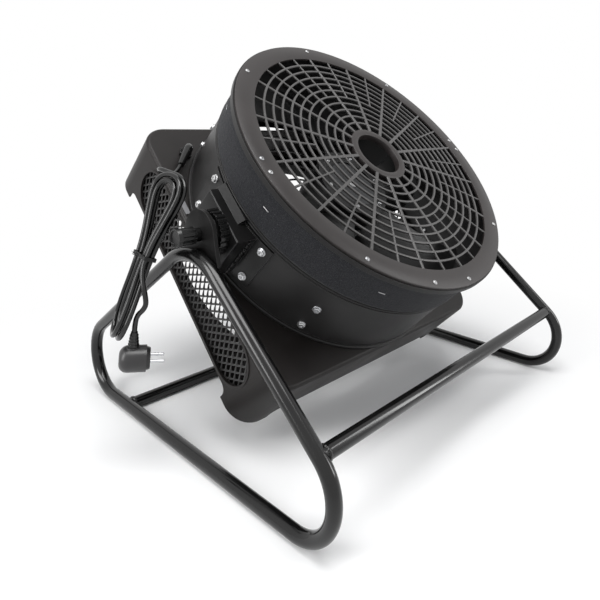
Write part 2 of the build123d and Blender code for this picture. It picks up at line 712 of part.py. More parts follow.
with BuildPart() as left_bracket:
    with BuildSketch(web):
        Rectangle(saddle_height, saddle_length)
    extrude(amount=SADDLE_DEPTH)
    fillet(left_bracket.edges().group_by(Axis.X)[0], SADDLE_WALL / 2)
    with BuildSketch(web.offset(SADDLE_WALL)):
        Rectangle(saddle_height - 2 * SADDLE_WALL, saddle_length - 2 * SADDLE_WALL)
    extrude(amount=SADDLE_DEPTH, mode=Mode.SUBTRACT)
    with BuildSketch(strip_plane):
        with BuildLine():
            Polyline(
                (-bracket_out_r + SADDLE_STRIP_H, saddle_front_w),
                (-bracket_out_r + SADDLE_STRIP_H, bracket_front_w + SADDLE_STRIP_W),
                (-bracket_out_r, bracket_front_w + SADDLE_STRIP_W),
                (-bracket_out_r - SADDLE_STRIP_H, saddle_front_w),
                close=True,
            )
        make_face()
    extrude(amount=strip_height / 2, both=True)
    with BuildSketch(bracket_profile):
        with Locations(((bracket_in_r + bracket_out_r) / 2, BRACKET_MID_W)):
            Rectangle(BRACKET_T, BRACKET_LENGTH)
    revolve(axis=drum_axis, revolution_arc=BRACKET_ARC)
    with BuildSketch(face.offset(bracket_front_w + 2 * SADDLE_STRIP_W)):
        Circle(bracket_in_r)
    extrude(amount=-2 * BRACKET_LENGTH, mode=Mode.SUBTRACT)
    with BuildSketch(face.offset(bracket_front_w)):
        Circle(bracket_in_r + RIDGE_R)
    extrude(amount=2 * SADDLE_STRIP_W, mode=Mode.SUBTRACT)
    for arc in (-BRACKET_BOLT_ARC, BRACKET_BOLT_ARC):
        for row in (-BRACKET_BOLT_W, BRACKET_BOLT_W):
            with BuildSketch(wall_plane(BRACKET_TURN + arc, bracket_out_r, BRACKET_MID_W + row)):
                Circle(BOLT_D / 2 + BOLT_CLEARANCE)
            extrude(amount=-2 * BRACKET_T, mode=Mode.SUBTRACT)
    with BuildSketch(Plane(origin=(-SADDLE_U, pivot_y, pivot_z), z_dir=(1, 0, 0))):
        Circle(STUD_D / 2 + STUD_CLEARANCE)
    extrude(amount=2 * SADDLE_WALL, mode=Mode.SUBTRACT)
keep(left_bracket, "left_trunnion_bracket")
keep(mirrored(left_bracket), "right_trunnion_bracket")

boss_plane = Plane(origin=(-SADDLE_U, pivot_y, pivot_z), x_dir=(0, 1, 0), z_dir=(-1, 0, 0))
boss_height = boss_out_x - SADDLE_U
with BuildPart() as left_boss:
    with BuildSketch(boss_plane):
        Circle(BOSS_R)
        with PolarLocations(BOSS_R, BOSS_TEETH):
            Circle(BOSS_TOOTH_D / 2, mode=Mode.SUBTRACT)
    extrude(amount=boss_height - BOSS_STEP_H)
    with BuildSketch(boss_plane.offset(boss_height - BOSS_STEP_H)):
        Circle(BOSS_STEP_R)
    extrude(amount=BOSS_STEP_H)
    with BuildSketch(boss_plane):
        Circle(STUD_D / 2 + STUD_CLEARANCE)
    extrude(amount=boss_height, mode=Mode.SUBTRACT)
keep(left_boss, "left_pivot_boss")
keep(mirrored(left_boss), "right_pivot_boss")

with BuildPart() as pivot_nuts:
    for side in (-1, 1):
        nut_seat = (side * (SADDLE_U - SADDLE_WALL), pivot_y, pivot_z)
        with BuildSketch(Plane(origin=nut_seat, z_dir=(-side, 0, 0))):
            RegularPolygon(NUT_FLATS / 2, 6, major_radius=False)
            Circle(STUD_D / 2 + STUD_FIT, mode=Mode.SUBTRACT)
        extrude(amount=NUT_T)
keep(pivot_nuts, "pivot_nuts")

with BuildPart() as bracket_bolts:
    for angle, bolt_w in bracket_bolt_places:
        seat = wall_plane(angle, bracket_out_r, bolt_w)
        add(hex_bolt(seat, BRACKET_T + BRACKET_GAP + DRUM_WALL + BOLT_GRIP))
keep(bracket_bolts, "bracket_bolts")

# ---------------------------------------------------------------- motor mount
drum_in_r = DRUM_R - DRUM_WALL
tab_out_r = drum_in_r - BRACKET_GAP
tab_in_r = tab_out_r - ARM_TAB_T
tab_length = max(ARM_BOLTS_W) + ARM_TAB_MARGIN - ARM_BACK_W
bearing_tube_length = BEARING_TUBE_FRONT_W - ARM_BACK_W
arm_end_r = tab_in_r + ARM_TAB_T / 2
with BuildPart() as motor_mount:
    with BuildSketch(face.offset(ARM_BACK_W)):
        Circle(MOTOR_PLATE_R)
        with PolarLocations(arm_end_r / 2, ARM_COUNT, start_angle=ARM_TURN):
            Rectangle(arm_end_r, ARM_WIDTH)
    extrude(amount=ARM_T)
    with BuildSketch(face.offset(ARM_BACK_W)):
        with PolarLocations(tab_in_r + ARM_TAB_T, ARM_COUNT, start_angle=ARM_TURN):
            Rectangle(2 * ARM_TAB_T, ARM_TAB_WIDTH)
    extrude(amount=tab_length)
    with BuildSketch(face.offset(ARM_BACK_W)):
        Circle(DRUM_R + ARM_TAB_WIDTH)
        Circle(tab_out_r, mode=Mode.SUBTRACT)
    extrude(amount=tab_length, mode=Mode.SUBTRACT)
    with BuildSketch(face.offset(ARM_BACK_W)):
        Circle(BEARING_TUBE_R)
    extrude(amount=bearing_tube_length)
    with BuildSketch(face.offset(ARM_BACK_W)):
        Circle(BEARING_R + BEARING_FIT)
    extrude(amount=bearing_tube_length, mode=Mode.SUBTRACT)
    for angle, bolt_w in arm_bolt_places:
        with BuildSketch(wall_plane(angle, DRUM_R, bolt_w)):
            Circle(BOLT_D / 2 + BOLT_CLEARANCE)
        extrude(amount=tab_in_r - DRUM_R - ARM_TAB_T, mode=Mode.SUBTRACT)
keep(motor_mount, "motor_mount")

with BuildPart() as arm_bolts:
    for angle, bolt_w in arm_bolt_places:
        seat = wall_plane(angle, DRUM_R + BRACKET_GAP, bolt_w)
        add(hex_bolt(seat, 2 * BRACKET_GAP + DRUM_WALL + ARM_TAB_T + BOLT_GRIP))
keep(arm_bolts, "arm_bolts")

with BuildPart() as stator_core:
    with BuildSketch(face.offset(STATOR_FRONT_W)):
        Circle(ROTOR_R - ROTOR_WALL - AIR_GAP)
        Circle(BEARING_TUBE_R + STATOR_FIT, mode=Mode.SUBTRACT)
    extrude(amount=-STATOR_T)
keep(stator_core, "stator_core")

with BuildPart() as stator_winding:
    for coil_mid_w in (STATOR_FRONT_W + COIL_H / 2, STATOR_FRONT_W - STATOR_T - COIL_H / 2):
        with BuildSketch(profile):
            with Locations((COIL_R, coil_mid_w)):
                RectangleRounded(COIL_WIDTH, COIL_H, COIL_ROUND)
        revolve(axis=drum_axis)
keep(stator_winding, "stator_winding")

with BuildPart() as motor_bearings:
    for bearing_w in (BEARING_TUBE_FRONT_W, ARM_BACK_W + BEARING_T):
        with BuildSketch(face.offset(bearing_w)):
            Circle(BEARING_R)
            Circle(SHAFT_D / 2 + SHAFT_FIT, mode=Mode.SUBTRACT)
        extrude(amount=-BEARING_T)
keep(motor_bearings, "motor_bearings")

# ---------------------------------------------------------------- impeller
with BuildPart() as rotor_can:
    with BuildSketch(face.offset(ROTOR_FRONT_W)):
        Circle(ROTOR_R)
    extrude(amount=-ROTOR_DEPTH)
    fillet(rotor_can.faces().sort_by(drum_axis)[-1].edges(), ROTOR_EDGE_R)
    with BuildSketch(face.offset(ROTOR_FRONT_W - ROTOR_WALL)):
        Circle(ROTOR_R - ROTOR_WALL)
    extrude(amount=-ROTOR_DEPTH, mode=Mode.SUBTRACT)
    with BuildSketch(face.offset(ROTOR_FRONT_W)):
        Circle(SHAFT_D / 2 + SHAFT_FIT)
        with PolarLocations(HUB_SCREW_CIRCLE_R, HUB_SCREWS):
            Circle(HUB_SCREW_D / 2 + SCREW_CLEARANCE)
    extrude(amount=-2 * ROTOR_WALL, mode=Mode.SUBTRACT)
keep(rotor_can, "rotor_can")

with BuildPart() as motor_shaft:
    with BuildSketch(face.offset(ROTOR_FRONT_W)):
        Circle(SHAFT_D / 2)
    extrude(amount=ARM_BACK_W - SHAFT_TAIL - ROTOR_FRONT_W)
keep(motor_shaft, "motor_shaft")

collar_in_r = ROTOR_R + COLLAR_FIT
collar_out_r = collar_in_r + COLLAR_T
blade_root_r = collar_in_r + COLLAR_T / 2
with BuildPart() as one_blade:
    for share, chord, pitch, sweep_turn in BLADE_STATIONS:
        radius = blade_root_r + share * (BLADE_TIP_R - blade_root_r)
        rise = BLADE_CAMBER * chord
        with BuildSketch(blade_station(sweep_turn, radius, pitch)):
            with BuildLine():
                ThreePointArc((-chord / 2, 0), (0, rise + BLADE_T / 2), (chord / 2, 0))
                ThreePointArc((chord / 2, 0), (0, rise - BLADE_T / 2), (-chord / 2, 0))
            make_face()
    loft()
    with BuildSketch(face):
        Circle(BLADE_TIP_R)
    extrude(amount=PANEL_W, mode=Mode.INTERSECT)

blades = [one_blade.part.rotate(drum_axis, 360 / BLADE_COUNT * turn) for turn in range(BLADE_COUNT)]
with BuildPart() as fan_blades:
    with BuildSketch(face.offset(ROTOR_FRONT_W)):
        Circle(collar_out_r)
    extrude(amount=-COLLAR_LENGTH)
    add(blades)
    with BuildSketch(face.offset(ROTOR_FRONT_W)):
        Circle(collar_in_r)
    extrude(amount=-ROTOR_DEPTH, mode=Mode.SUBTRACT)
    with BuildSketch(face.offset(ROTOR_FRONT_W)):
        Circle(collar_out_r)
        Circle(COLLAR_FLANGE_IN_R, mode=Mode.SUBTRACT)
        with PolarLocations(HUB_SCREW_CIRCLE_R, HUB_SCREWS):
            Circle(HUB_SCREW_D / 2 + SCREW_CLEARANCE, mode=Mode.SUBTRACT)
    extrude(amount=COLLAR_FLANGE_T)
keep(fan_blades, "fan_blades")

with BuildPart() as blade_screws:
    for turn in range(HUB_SCREWS):
        centre = face_centre + outward(360 / HUB_SCREWS * turn) * HUB_SCREW_CIRCLE_R
        seat = Plane(origin=centre + out_dir * (ROTOR_FRONT_W + COLLAR_FLANGE_T), z_dir=out_dir)
        length = COLLAR_FLANGE_T + ROTOR_WALL
        add(pan_screw(seat, HUB_SCREW_D, length, HUB_SCREW_HEAD_D, HUB_SCREW_HEAD_H))
keep(blade_screws, "blade_screws")

# ---------------------------------------------------------------- rear guard
with BuildPart() as rear_guard:
    with BuildSketch(face.offset(panel_back_w)):
        for ring_r in REAR_RINGS_R:
            Circle(ring_r + REAR_WIRE / 2)
            Circle(ring_r - REAR_WIRE / 2, mode=Mode.SUBTRACT)
        bar_length = REAR_BAR_R - REAR_RINGS_R[0]
        with PolarLocations(REAR_BAR_R - bar_length / 2, REAR_BARS, start_angle=REAR_BAR_TURN):
            Rectangle(bar_length, REAR_WIRE)
    extrude(amount=-REAR_WIRE)
keep(rear_guard, "rear_guard")

# ---------------------------------------------------------------- cable gland, box and capacitor
gland_seat = Plane(origin=head_point(GLAND_U, GLAND_V, PANEL_W), x_dir=across_dir, z_dir=out_dir)
gland_thread_length = HOUSING_WALL + BOX_WALL + GLAND_NUT_T
with BuildPart() as cable_gland:
    with BuildSketch(gland_seat):
        RegularPolygon(GLAND_D / 2, 6)
    extrude(amount=GLAND_FLANGE_T)
    with BuildSketch(gland_seat.offset(GLAND_FLANGE_T)):
        Circle(GLAND_DOME_D / 2)
    extrude(amount=GLAND_H - GLAND_FLANGE_T, taper=GLAND_DOME_TAPER)
    with BuildSketch(gland_seat):
        Circle(GLAND_THREAD_D / 2)
    extrude(amount=-gland_thread_length)
keep(cable_gland, "cable_gland")

relief_lean = radians(RELIEF_LEAN)
relief_dir = -up_dir * cos(relief_lean) - across_dir * sin(relief_lean)
gland_top = head_point(GLAND_U, GLAND_V, PANEL_W + GLAND_H)
relief_turn = Axis(gland_top + relief_dir * RELIEF_BEND_R, out_dir.cross(relief_dir))
relief_taper = Plane(origin=gland_top + (relief_dir + out_dir) * RELIEF_BEND_R, z_dir=relief_dir)
relief_end = relief_taper.origin + relief_dir * RELIEF_LENGTH
with BuildPart() as strain_relief:
    with BuildSketch(Plane(origin=gland_top, z_dir=out_dir)):
        Circle(RELIEF_D / 2)
    revolve(axis=relief_turn, revolution_arc=90)
    with BuildSketch(relief_taper):
        Circle(RELIEF_D / 2)
    with BuildSketch(relief_taper.offset(RELIEF_LENGTH)):
        Circle(RELIEF_END_D / 2)
    loft()
keep(strain_relief, "strain_relief")

box_seat = Plane(origin=head_point(BOX_U, BOX_V, panel_back_w), x_dir=across_dir, z_dir=-out_dir)
gland_in_box = (GLAND_U - BOX_U, BOX_V - GLAND_V)
box_inside = BOX_SIDE - 2 * BOX_WALL
with BuildPart() as terminal_box:
    with BuildSketch(box_seat):
        RectangleRounded(BOX_SIDE, BOX_SIDE, BOX_CORNER_R)
    extrude(amount=BOX_H)
    with BuildSketch(box_seat.offset(BOX_WALL)):
        RectangleRounded(box_inside, box_inside, BOX_CORNER_R - BOX_WALL)
    extrude(amount=BOX_H, mode=Mode.SUBTRACT)
    with BuildSketch(box_seat):
        with Locations(gland_in_box):
            Circle(GLAND_THREAD_D / 2 + GLAND_FIT)
    extrude(amount=BOX_WALL, mode=Mode.SUBTRACT)
keep(terminal_box, "terminal_box")

with BuildPart() as box_lid:
    with BuildSketch(box_seat.offset(BOX_H)):
        RectangleRounded(BOX_SIDE, BOX_SIDE, BOX_CORNER_R)
    extrude(amount=LID_T)
keep(box_lid, "terminal_box_lid")

with BuildPart() as gland_nut:
    with BuildSketch(box_seat.offset(BOX_WALL)):
        with Locations(gland_in_box):
            RegularPolygon(GLAND_NUT_FLATS / 2, 6, major_radius=False)
            Circle(GLAND_THREAD_D / 2 + GLAND_FIT, mode=Mode.SUBTRACT)
    extrude(amount=GLAND_NUT_T)
keep(gland_nut, "gland_nut")

capacitor_seat = Plane(origin=head_point(CAPACITOR_U, CAPACITOR_V, panel_back_w), z_dir=-out_dir)
with BuildPart() as capacitor:
    with BuildSketch(capacitor_seat):
        Circle(CAPACITOR_D / 2)
    extrude(amount=CAPACITOR_H)
    fillet(capacitor.faces().sort_by(drum_axis)[0].edges(), CAPACITOR_ROUND)
    with BuildSketch(capacitor_seat):
        Circle(CAPACITOR_FOOT_D / 2)
    extrude(amount=CAPACITOR_FOOT_T)
keep(capacitor, "run_capacitor")

# ---------------------------------------------------------------- hank of the mains lead
hank_centre = Vector(*HANK_CENTRE)
hank_up = Vector(*HANK_UP).normalized()
hank_in = hank_up.cross(Vector(*HANK_ACROSS)).normalized()
hank_across = hank_in.cross(hank_up)
hank_step = 360 / HANK_STEPS
hank_total = hank_step * HANK_RUNS


def hank_sides(along):
    """The directions across and through the twisted hank at a place along it."""
    twist = radians(HANK_TWIST) * (1 - along / HANK_HALF_LENGTH) / 2
    across = hank_across * cos(twist) + hank_in * sin(twist)
    return across, hank_in * cos(twist) - hank_across * sin(twist)


def hank_point(swept):
    """The hank's line after a number of degrees: inwards for half the turns, then out again."""
    depth = min(swept, hank_total - swept) / 360
    half_length = HANK_HALF_LENGTH - HANK_LENGTH_STEP * depth
    lobe = HANK_LOBE - HANK_LOBE_STEP * depth
    waist = HANK_WAIST - HANK_WAIST_STEP * depth
    turn = radians(swept + HANK_START)
    along = half_length * cos(turn)
    aside = sin(turn) * (lobe - (lobe - waist) * sin(turn) ** 2)
    climbed = min(max((swept - hank_total / 2 + 90) / 180, 0), 1)
    layer = HANK_LAYER * (1 - 2 * climbed)
    across, through = hank_sides(along)
    return hank_centre + hank_up * along + across * aside + through * layer


hank_points = [hank_point(hank_step * step) for step in range(HANK_RUNS + 1)]
hank_points[-1] = (hank_points[-2] + hank_points[-1]) / 2
hank_samples = [
    before + (after - before) * (share / 4)
    for before, after in zip(hank_points, hank_points[1:])
    for share in range(4)
]
least_gap = min(
    (one - other).length - CORD_D
    for index, one in enumerate(hank_samples)
    for other in hank_samples[index + 2 * HANK_STEPS:]
)
print(f"hank: least gap to itself {least_gap:.1f} mm, least bend {min(cord_radii(hank_points)):.1f} mm")
hank, hank_length = cord_tube(hank_points, HANK_SIDES)
keep(hank, "cord_hank")

# ---------------------------------------------------------------- lead from the gland, tail to the plug
hank_start = hank_points[0]
hank_start_dir = (hank_points[1] - hank_points[0]).normalized()
hank_end = hank_points[-1]
hank_end_dir = (hank_points[-1] - hank_points[-2]).normalized()
lead_points = [relief_end, relief_end + relief_dir * LEAD_RUN_OUT]
lead_points += [Vector(*point) for point in LEAD_ROUTE]
lead_points += [hank_start - hank_start_dir * LEAD_RUN_IN, hank_start]
lead, lead_length = cord_tube(lead_points, CORD_SIDES)
keep(lead, "cord_lead")
tail_points = [hank_end, hank_end + hank_end_dir * TAIL_RUN_OUT]
tail_points += [Vector(*point) for point in TAIL_ROUTE]
tail, tail_length = cord_tube(tail_points, CORD_SIDES)
keep(tail, "cord_tail")
print("lead bends", [round(radius) for radius in cord_radii(lead_points)])
print("tail bends", [round(radius) for radius in cord_radii(tail_points)])
print(f"whole cord {lead_length + hank_length + tail_length:.0f} mm")

tie_across = hank_sides(0)[0]
tie_origin = hank_centre + tie_across * TIE_MID - hank_up * (TIE_WIDTH / 2)
with BuildPart() as hank_tie:
    with BuildSketch(Plane(origin=tie_origin, x_dir=tie_across, z_dir=hank_up)):
        RectangleRounded(TIE_INNER_LENGTH + 2 * TIE_T, TIE_INNER_WIDTH + 2 * TIE_T, 2 * TIE_T)
        RectangleRounded(TIE_INNER_LENGTH, TIE_INNER_WIDTH, TIE_T, mode=Mode.SUBTRACT)
    extrude(amount=TIE_WIDTH)
keep(hank_tie, "hank_tie")

# ---------------------------------------------------------------- plug
tail_dir = (tail_points[-1] - tail_points[-2]).normalized()
sleeve_top = Plane(origin=tail_points[-1], z_dir=tail_dir)
with BuildPart() as plug_sleeve:
    with BuildSketch(sleeve_top):
        Circle(SLEEVE_TOP_D / 2)
    with BuildSketch(sleeve_top.offset(SLEEVE_LENGTH)):
        Circle(SLEEVE_D / 2)
    loft()
    for rib in range(1, SLEEVE_RIBS + 1):
        share = rib / (SLEEVE_RIBS + 1)
        with BuildSketch(sleeve_top.offset(SLEEVE_LENGTH * share)):
            Circle((SLEEVE_TOP_D + (SLEEVE_D - SLEEVE_TOP_D) * share) / 2 + SLEEVE_RIB_H)
        extrude(amount=SLEEVE_RIB_LENGTH)
keep(plug_sleeve, "plug_sleeve")

facing = Vector(*PLUG_FACING)
facing = (facing - tail_dir * facing.dot(tail_dir)).normalized()
plug_centre = tail_points[-1] + tail_dir * (SLEEVE_LENGTH + PLUG_D / 2)
plug_back = Plane(origin=plug_centre - facing * (PLUG_LENGTH / 2), x_dir=tail_dir, z_dir=facing)
pin_face = plug_back.offset(PLUG_LENGTH + PLUG_COLLAR_T)
with BuildPart() as plug_body:
    with BuildSketch(plug_back):
        Circle(PLUG_D / 2)
    extrude(amount=PLUG_LENGTH)
    fillet(plug_body.faces().sort_by(Axis(plug_centre, facing))[0].edges(), PLUG_BACK_R)
    with BuildSketch(Plane(origin=plug_centre, z_dir=-tail_dir)):
        Circle(PLUG_NECK_D / 2)
    extrude(amount=PLUG_D / 2)
    with BuildSketch(plug_back.offset(PLUG_LENGTH)):
        Circle(PLUG_COLLAR_D / 2)
    extrude(amount=PLUG_COLLAR_T, taper=PLUG_COLLAR_TAPER)
    with BuildSketch(pin_face):
        with GridLocations(0, PIN_SPACING, 1, 2):
            Circle(PIN_D / 2 + PIN_FIT)
    extrude(amount=-PIN_GRIP, mode=Mode.SUBTRACT)
keep(plug_body, "mains_plug")

with BuildPart() as plug_pins:
    with BuildSketch(pin_face.offset(-PIN_GRIP)):
        with GridLocations(0, PIN_SPACING, 1, 2):
            Circle(PIN_D / 2)
    extrude(amount=PIN_GRIP + PIN_LENGTH)
    fillet(plug_pins.faces().sort_by(Axis(plug_centre, facing))[-2:].edges(), PIN_ROUND)
keep(plug_pins, "plug_pins")
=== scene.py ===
import json
import math

import bmesh
import bpy
from mathutils import Matrix, Vector, noise


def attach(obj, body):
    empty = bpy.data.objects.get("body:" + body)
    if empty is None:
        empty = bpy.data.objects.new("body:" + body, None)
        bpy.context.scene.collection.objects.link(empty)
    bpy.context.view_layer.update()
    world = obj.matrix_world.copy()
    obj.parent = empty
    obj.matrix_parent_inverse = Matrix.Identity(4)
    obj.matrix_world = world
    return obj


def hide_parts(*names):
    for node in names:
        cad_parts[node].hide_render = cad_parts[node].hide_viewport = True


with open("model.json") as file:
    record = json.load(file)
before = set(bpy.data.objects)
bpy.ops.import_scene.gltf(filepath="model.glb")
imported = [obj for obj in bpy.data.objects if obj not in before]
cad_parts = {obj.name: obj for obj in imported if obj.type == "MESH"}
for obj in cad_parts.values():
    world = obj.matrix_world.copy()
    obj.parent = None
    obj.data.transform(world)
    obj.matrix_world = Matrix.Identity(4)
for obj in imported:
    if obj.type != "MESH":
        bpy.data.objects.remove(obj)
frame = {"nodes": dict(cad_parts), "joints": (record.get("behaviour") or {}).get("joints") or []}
bpy.context.view_layer.update()
nodes = frame["nodes"]
scene = bpy.context.scene
joints = {joint["name"]: joint for joint in frame["joints"]}

# The head's own frame: across, up along the grille, and out of the grille.
ACROSS = Vector((1, 0, 0))
OUT = Vector(joints["impeller_spin"]["axis"])
UP = OUT.cross(ACROSS)
FACE = Vector(joints["impeller_spin"]["pos_m"]) + OUT * 0.118

DRUM_R = 0.262
BAND_R = 0.2652
BAND_TOP = -0.016
BAND_FOOT = -0.080
GUARD_SCREW_R = 0.261
GUARD_SCREW_ANGLES = [45 * step for step in range(8)] + [5.5, 185.5, 251.5]
BRACKET_TURNS = (184.1, -4.1)
BRACKET_ARC = 15.2
BRACKET_MID = -0.137
BRACKET_ROW = 0.032
BRACKET_OUT_R = 0.2652
WINDOW_V = -0.020
WINDOW_W = -0.252
WINDOW_LENGTH = 0.394
WINDOW_HEIGHT = 0.084


def head_point(u, v, w):
    """A point of the head from its millimetres across, up and out."""
    return FACE + (ACROSS * u + UP * v + OUT * w) / 1000


def outward(angle):
    """The direction away from the fan's axis at that many degrees."""
    turn = math.radians(angle)
    return ACROSS * math.cos(turn) + UP * math.sin(turn)


# ---------------------------------------------------------------- camera
CAMERA_PLACE = (-0.7269, -0.6676, 0.4969)
CAMERA_YAW, CAMERA_PITCH, CAMERA_ROLL = 47.92, 6.8, 0.88


def make_camera():
    """The photo's own camera, solved from its circles and stand lines."""
    yaw, pitch, roll = (math.radians(angle) for angle in (CAMERA_YAW, CAMERA_PITCH, CAMERA_ROLL))
    forward = Vector((
        math.sin(yaw) * math.cos(pitch),
        math.cos(yaw) * math.cos(pitch),
        -math.sin(pitch),
    ))
    level = Vector((math.cos(yaw), -math.sin(yaw), 0))
    lift = level.cross(forward)
    right = level * math.cos(roll) + lift * math.sin(roll)
    up = lift * math.cos(roll) - level * math.sin(roll)
    data = bpy.data.cameras.new("camera")
    data.lens = 31.79
    data.sensor_width = 36
    data.shift_x = -0.0708
    data.shift_y = -0.187
    camera = bpy.data.objects.new("camera", data)
    turn = Matrix((right, up, -forward)).transposed().to_4x4()
    camera.matrix_world = Matrix.Translation(CAMERA_PLACE) @ turn
    scene.collection.objects.link(camera)
    scene.camera = camera


make_camera()
scene.view_settings.view_transform = "Standard"


# ---------------------------------------------------------------- materials
def material(name, colour, tone, rough, metal=0.0, broad=12.0, grain=900.0, bump=0.2, depth=0.0002,
             edge=None, sheen=0.0, fleck=0.0, round_edge=0.0006, shine=0.5):
    """A finish whose colour, roughness and grain vary over the surface, with edges painted paler: partly
    wear, partly a painted highlight.
    """
    made = bpy.data.materials.new(name)
    made.use_nodes = True
    tree = made.node_tree
    new = tree.nodes.new
    link = tree.links.new
    shader = tree.nodes["Principled BSDF"]
    shader.inputs["Metallic"].default_value = metal
    shader.inputs["Sheen Weight"].default_value = sheen
    shader.inputs["Specular IOR Level"].default_value = shine
    place = new("ShaderNodeTexCoord").outputs["Object"]

    wide = new("ShaderNodeTexNoise")
    wide.inputs["Scale"].default_value = broad
    wide.inputs["Detail"].default_value = 5
    link(place, wide.inputs["Vector"])
    fine = new("ShaderNodeTexNoise")
    fine.inputs["Scale"].default_value = grain
    fine.inputs["Detail"].default_value = 3
    link(place, fine.inputs["Vector"])

    blend = new("ShaderNodeMix")
    blend.data_type = "RGBA"
    blend.inputs["A"].default_value = (*colour, 1)
    blend.inputs["B"].default_value = (*tone, 1)
    spread = new("ShaderNodeMapRange")
    spread.inputs["From Min"].default_value = 0.35
    spread.inputs["From Max"].default_value = 0.65
    link(wide.outputs["Fac"], spread.inputs["Value"])
    link(spread.outputs["Result"], blend.inputs["Factor"])
    shade = blend.outputs["Result"]

    if fleck:
        specks = new("ShaderNodeMapRange")
        specks.inputs["From Min"].default_value = 0.55
        specks.inputs["From Max"].default_value = 0.72
        specks.inputs["To Max"].default_value = fleck
        link(fine.outputs["Fac"], specks.inputs["Value"])
        flecked = new("ShaderNodeMix")
        flecked.data_type = "RGBA"
        flecked.inputs["B"].default_value = (0.35, 0.35, 0.36, 1)
        link(specks.outputs["Result"], flecked.inputs["Factor"])
        link(shade, flecked.inputs["A"])
        shade = flecked.outputs["Result"]

    rounded = new("ShaderNodeBevel")
    rounded.samples = 4
    rounded.inputs["Radius"].default_value = round_edge
    # Rounded edges are mixed towards the paler edge colour: part wear, part a painted highlight along the
    # edges.
    if edge:
        face = new("ShaderNodeNewGeometry")
        alike = new("ShaderNodeVectorMath")
        alike.operation = "DOT_PRODUCT"
        link(rounded.outputs["Normal"], alike.inputs[0])
        link(face.outputs["Normal"], alike.inputs[1])
        wear_and_highlight_mask = new("ShaderNodeMapRange")
        wear_and_highlight_mask.inputs["From Min"].default_value = 0.99
        wear_and_highlight_mask.inputs["From Max"].default_value = 0.80
        wear_and_highlight_mask.inputs["To Max"].default_value = 0.6
        link(alike.outputs["Value"], wear_and_highlight_mask.inputs["Value"])
        wear_and_highlight_mix = new("ShaderNodeMix")
        wear_and_highlight_mix.data_type = "RGBA"
        wear_and_highlight_mix.inputs["B"].default_value = (*edge, 1)
        link(wear_and_highlight_mask.outputs["Result"], wear_and_highlight_mix.inputs["Factor"])
        link(shade, wear_and_highlight_mix.inputs["A"])
        shade = wear_and_highlight_mix.outputs["Result"]
    link(shade, shader.inputs["Base Color"])

    gloss = new("ShaderNodeMapRange")
    gloss.inputs["From Min"].default_value = 0.3
    gloss.inputs["From Max"].default_value = 0.7
    gloss.inputs["To Min"].default_value = rough[0]
    gloss.inputs["To Max"].default_value = rough[1]
    link(wide.outputs["Fac"], gloss.inputs["Value"])
    link(gloss.outputs["Result"], shader.inputs["Roughness"])

    raised = new("ShaderNodeBump")
    raised.inputs["Strength"].default_value = bump
    raised.inputs["Distance"].default_value = depth
    link(fine.outputs["Fac"], raised.inputs["Height"])
    link(rounded.outputs["Normal"], raised.inputs["Normal"])
    link(raised.outputs["Normal"], shader.inputs["Normal"])
    return made


# Each edge colour below paints the rounded edges paler: part wear, part painted highlight.
gloss_paint = material("gloss_paint", (0.002, 0.002, 0.002), (0.004, 0.004, 0.004), (0.12, 0.19),
                       grain=160, bump=0.03, depth=0.0002, edge=(0.02, 0.02, 0.02), shine=0.45)
housing_paint = material("housing_paint", (0.009, 0.0075, 0.007), (0.013, 0.011, 0.0105), (0.36, 0.48),
                         grain=1100, bump=0.30, depth=0.0002, edge=(0.06, 0.06, 0.06), fleck=0.02, shine=0.22)
drum_paint = material("drum_paint", (0.010, 0.0095, 0.0095), (0.015, 0.0145, 0.0145), (0.34, 0.46),
                      grain=1200, bump=0.35, depth=0.0002, edge=(0.07, 0.07, 0.07), fleck=0.03, shine=0.25)
# The strands are painted lighter than the other black steel: a painted highlight on the strands.
mesh_paint = material("mesh_paint", (0.020, 0.019, 0.019), (0.030, 0.029, 0.029), (0.30, 0.42),
                      grain=1200, bump=0.30, depth=0.0002, shine=0.4)
bracket_paint = material("bracket_paint", (0.006, 0.006, 0.006), (0.010, 0.0095, 0.0095), (0.26, 0.38),
                         grain=800, bump=0.35, depth=0.0002, edge=(0.14, 0.14, 0.14), fleck=0.03, shine=0.25)
guard_plastic = material("guard_plastic", (0.017, 0.0140, 0.0135), (0.023, 0.0190, 0.0185), (0.34, 0.46),
                         grain=1500, bump=0.25, depth=0.0001, edge=(0.10, 0.095, 0.09), round_edge=0.0009,
                         shine=0.35)
# The bars are the rim's plastic painted lighter: a painted highlight for the light on their thin rounded
# bars.
bar_plastic_painted_highlight = material("bar_plastic_painted_highlight", (0.048, 0.046, 0.045), (0.062, 0.059, 0.058), (0.30, 0.42),
                       grain=1500, bump=0.20, depth=0.0001, edge=(0.13, 0.13, 0.13))
blade_plastic = material("blade_plastic", (0.003, 0.003, 0.003), (0.005, 0.005, 0.005), (0.30, 0.42),
                         grain=900, bump=0.10, depth=0.0001)
black_plastic = material("black_plastic", (0.004, 0.004, 0.004), (0.007, 0.007, 0.007), (0.18, 0.27),
                         grain=900, bump=0.15, depth=0.0001, edge=(0.08, 0.08, 0.08), shine=0.4)
cord_rubber = material("cord_rubber", (0.002, 0.002, 0.002), (0.004, 0.004, 0.004), (0.13, 0.20),
                       grain=500, bump=0.08, depth=0.0001)
dull_rubber = material("dull_rubber", (0.006, 0.006, 0.006), (0.010, 0.010, 0.010), (0.45, 0.60),
                       grain=700, bump=0.30, depth=0.0002, shine=0.3)
plug_plastic = material("plug_plastic", (0.019, 0.0185, 0.019), (0.027, 0.026, 0.027), (0.28, 0.40),
                        grain=900, bump=0.15, depth=0.0001, edge=(0.10, 0.10, 0.10))
zinc = material("zinc", (0.52, 0.53, 0.55), (0.66, 0.66, 0.66), (0.24, 0.38), metal=0.95,
                grain=1400, bump=0.25, depth=0.0001, edge=(0.80, 0.80, 0.80))
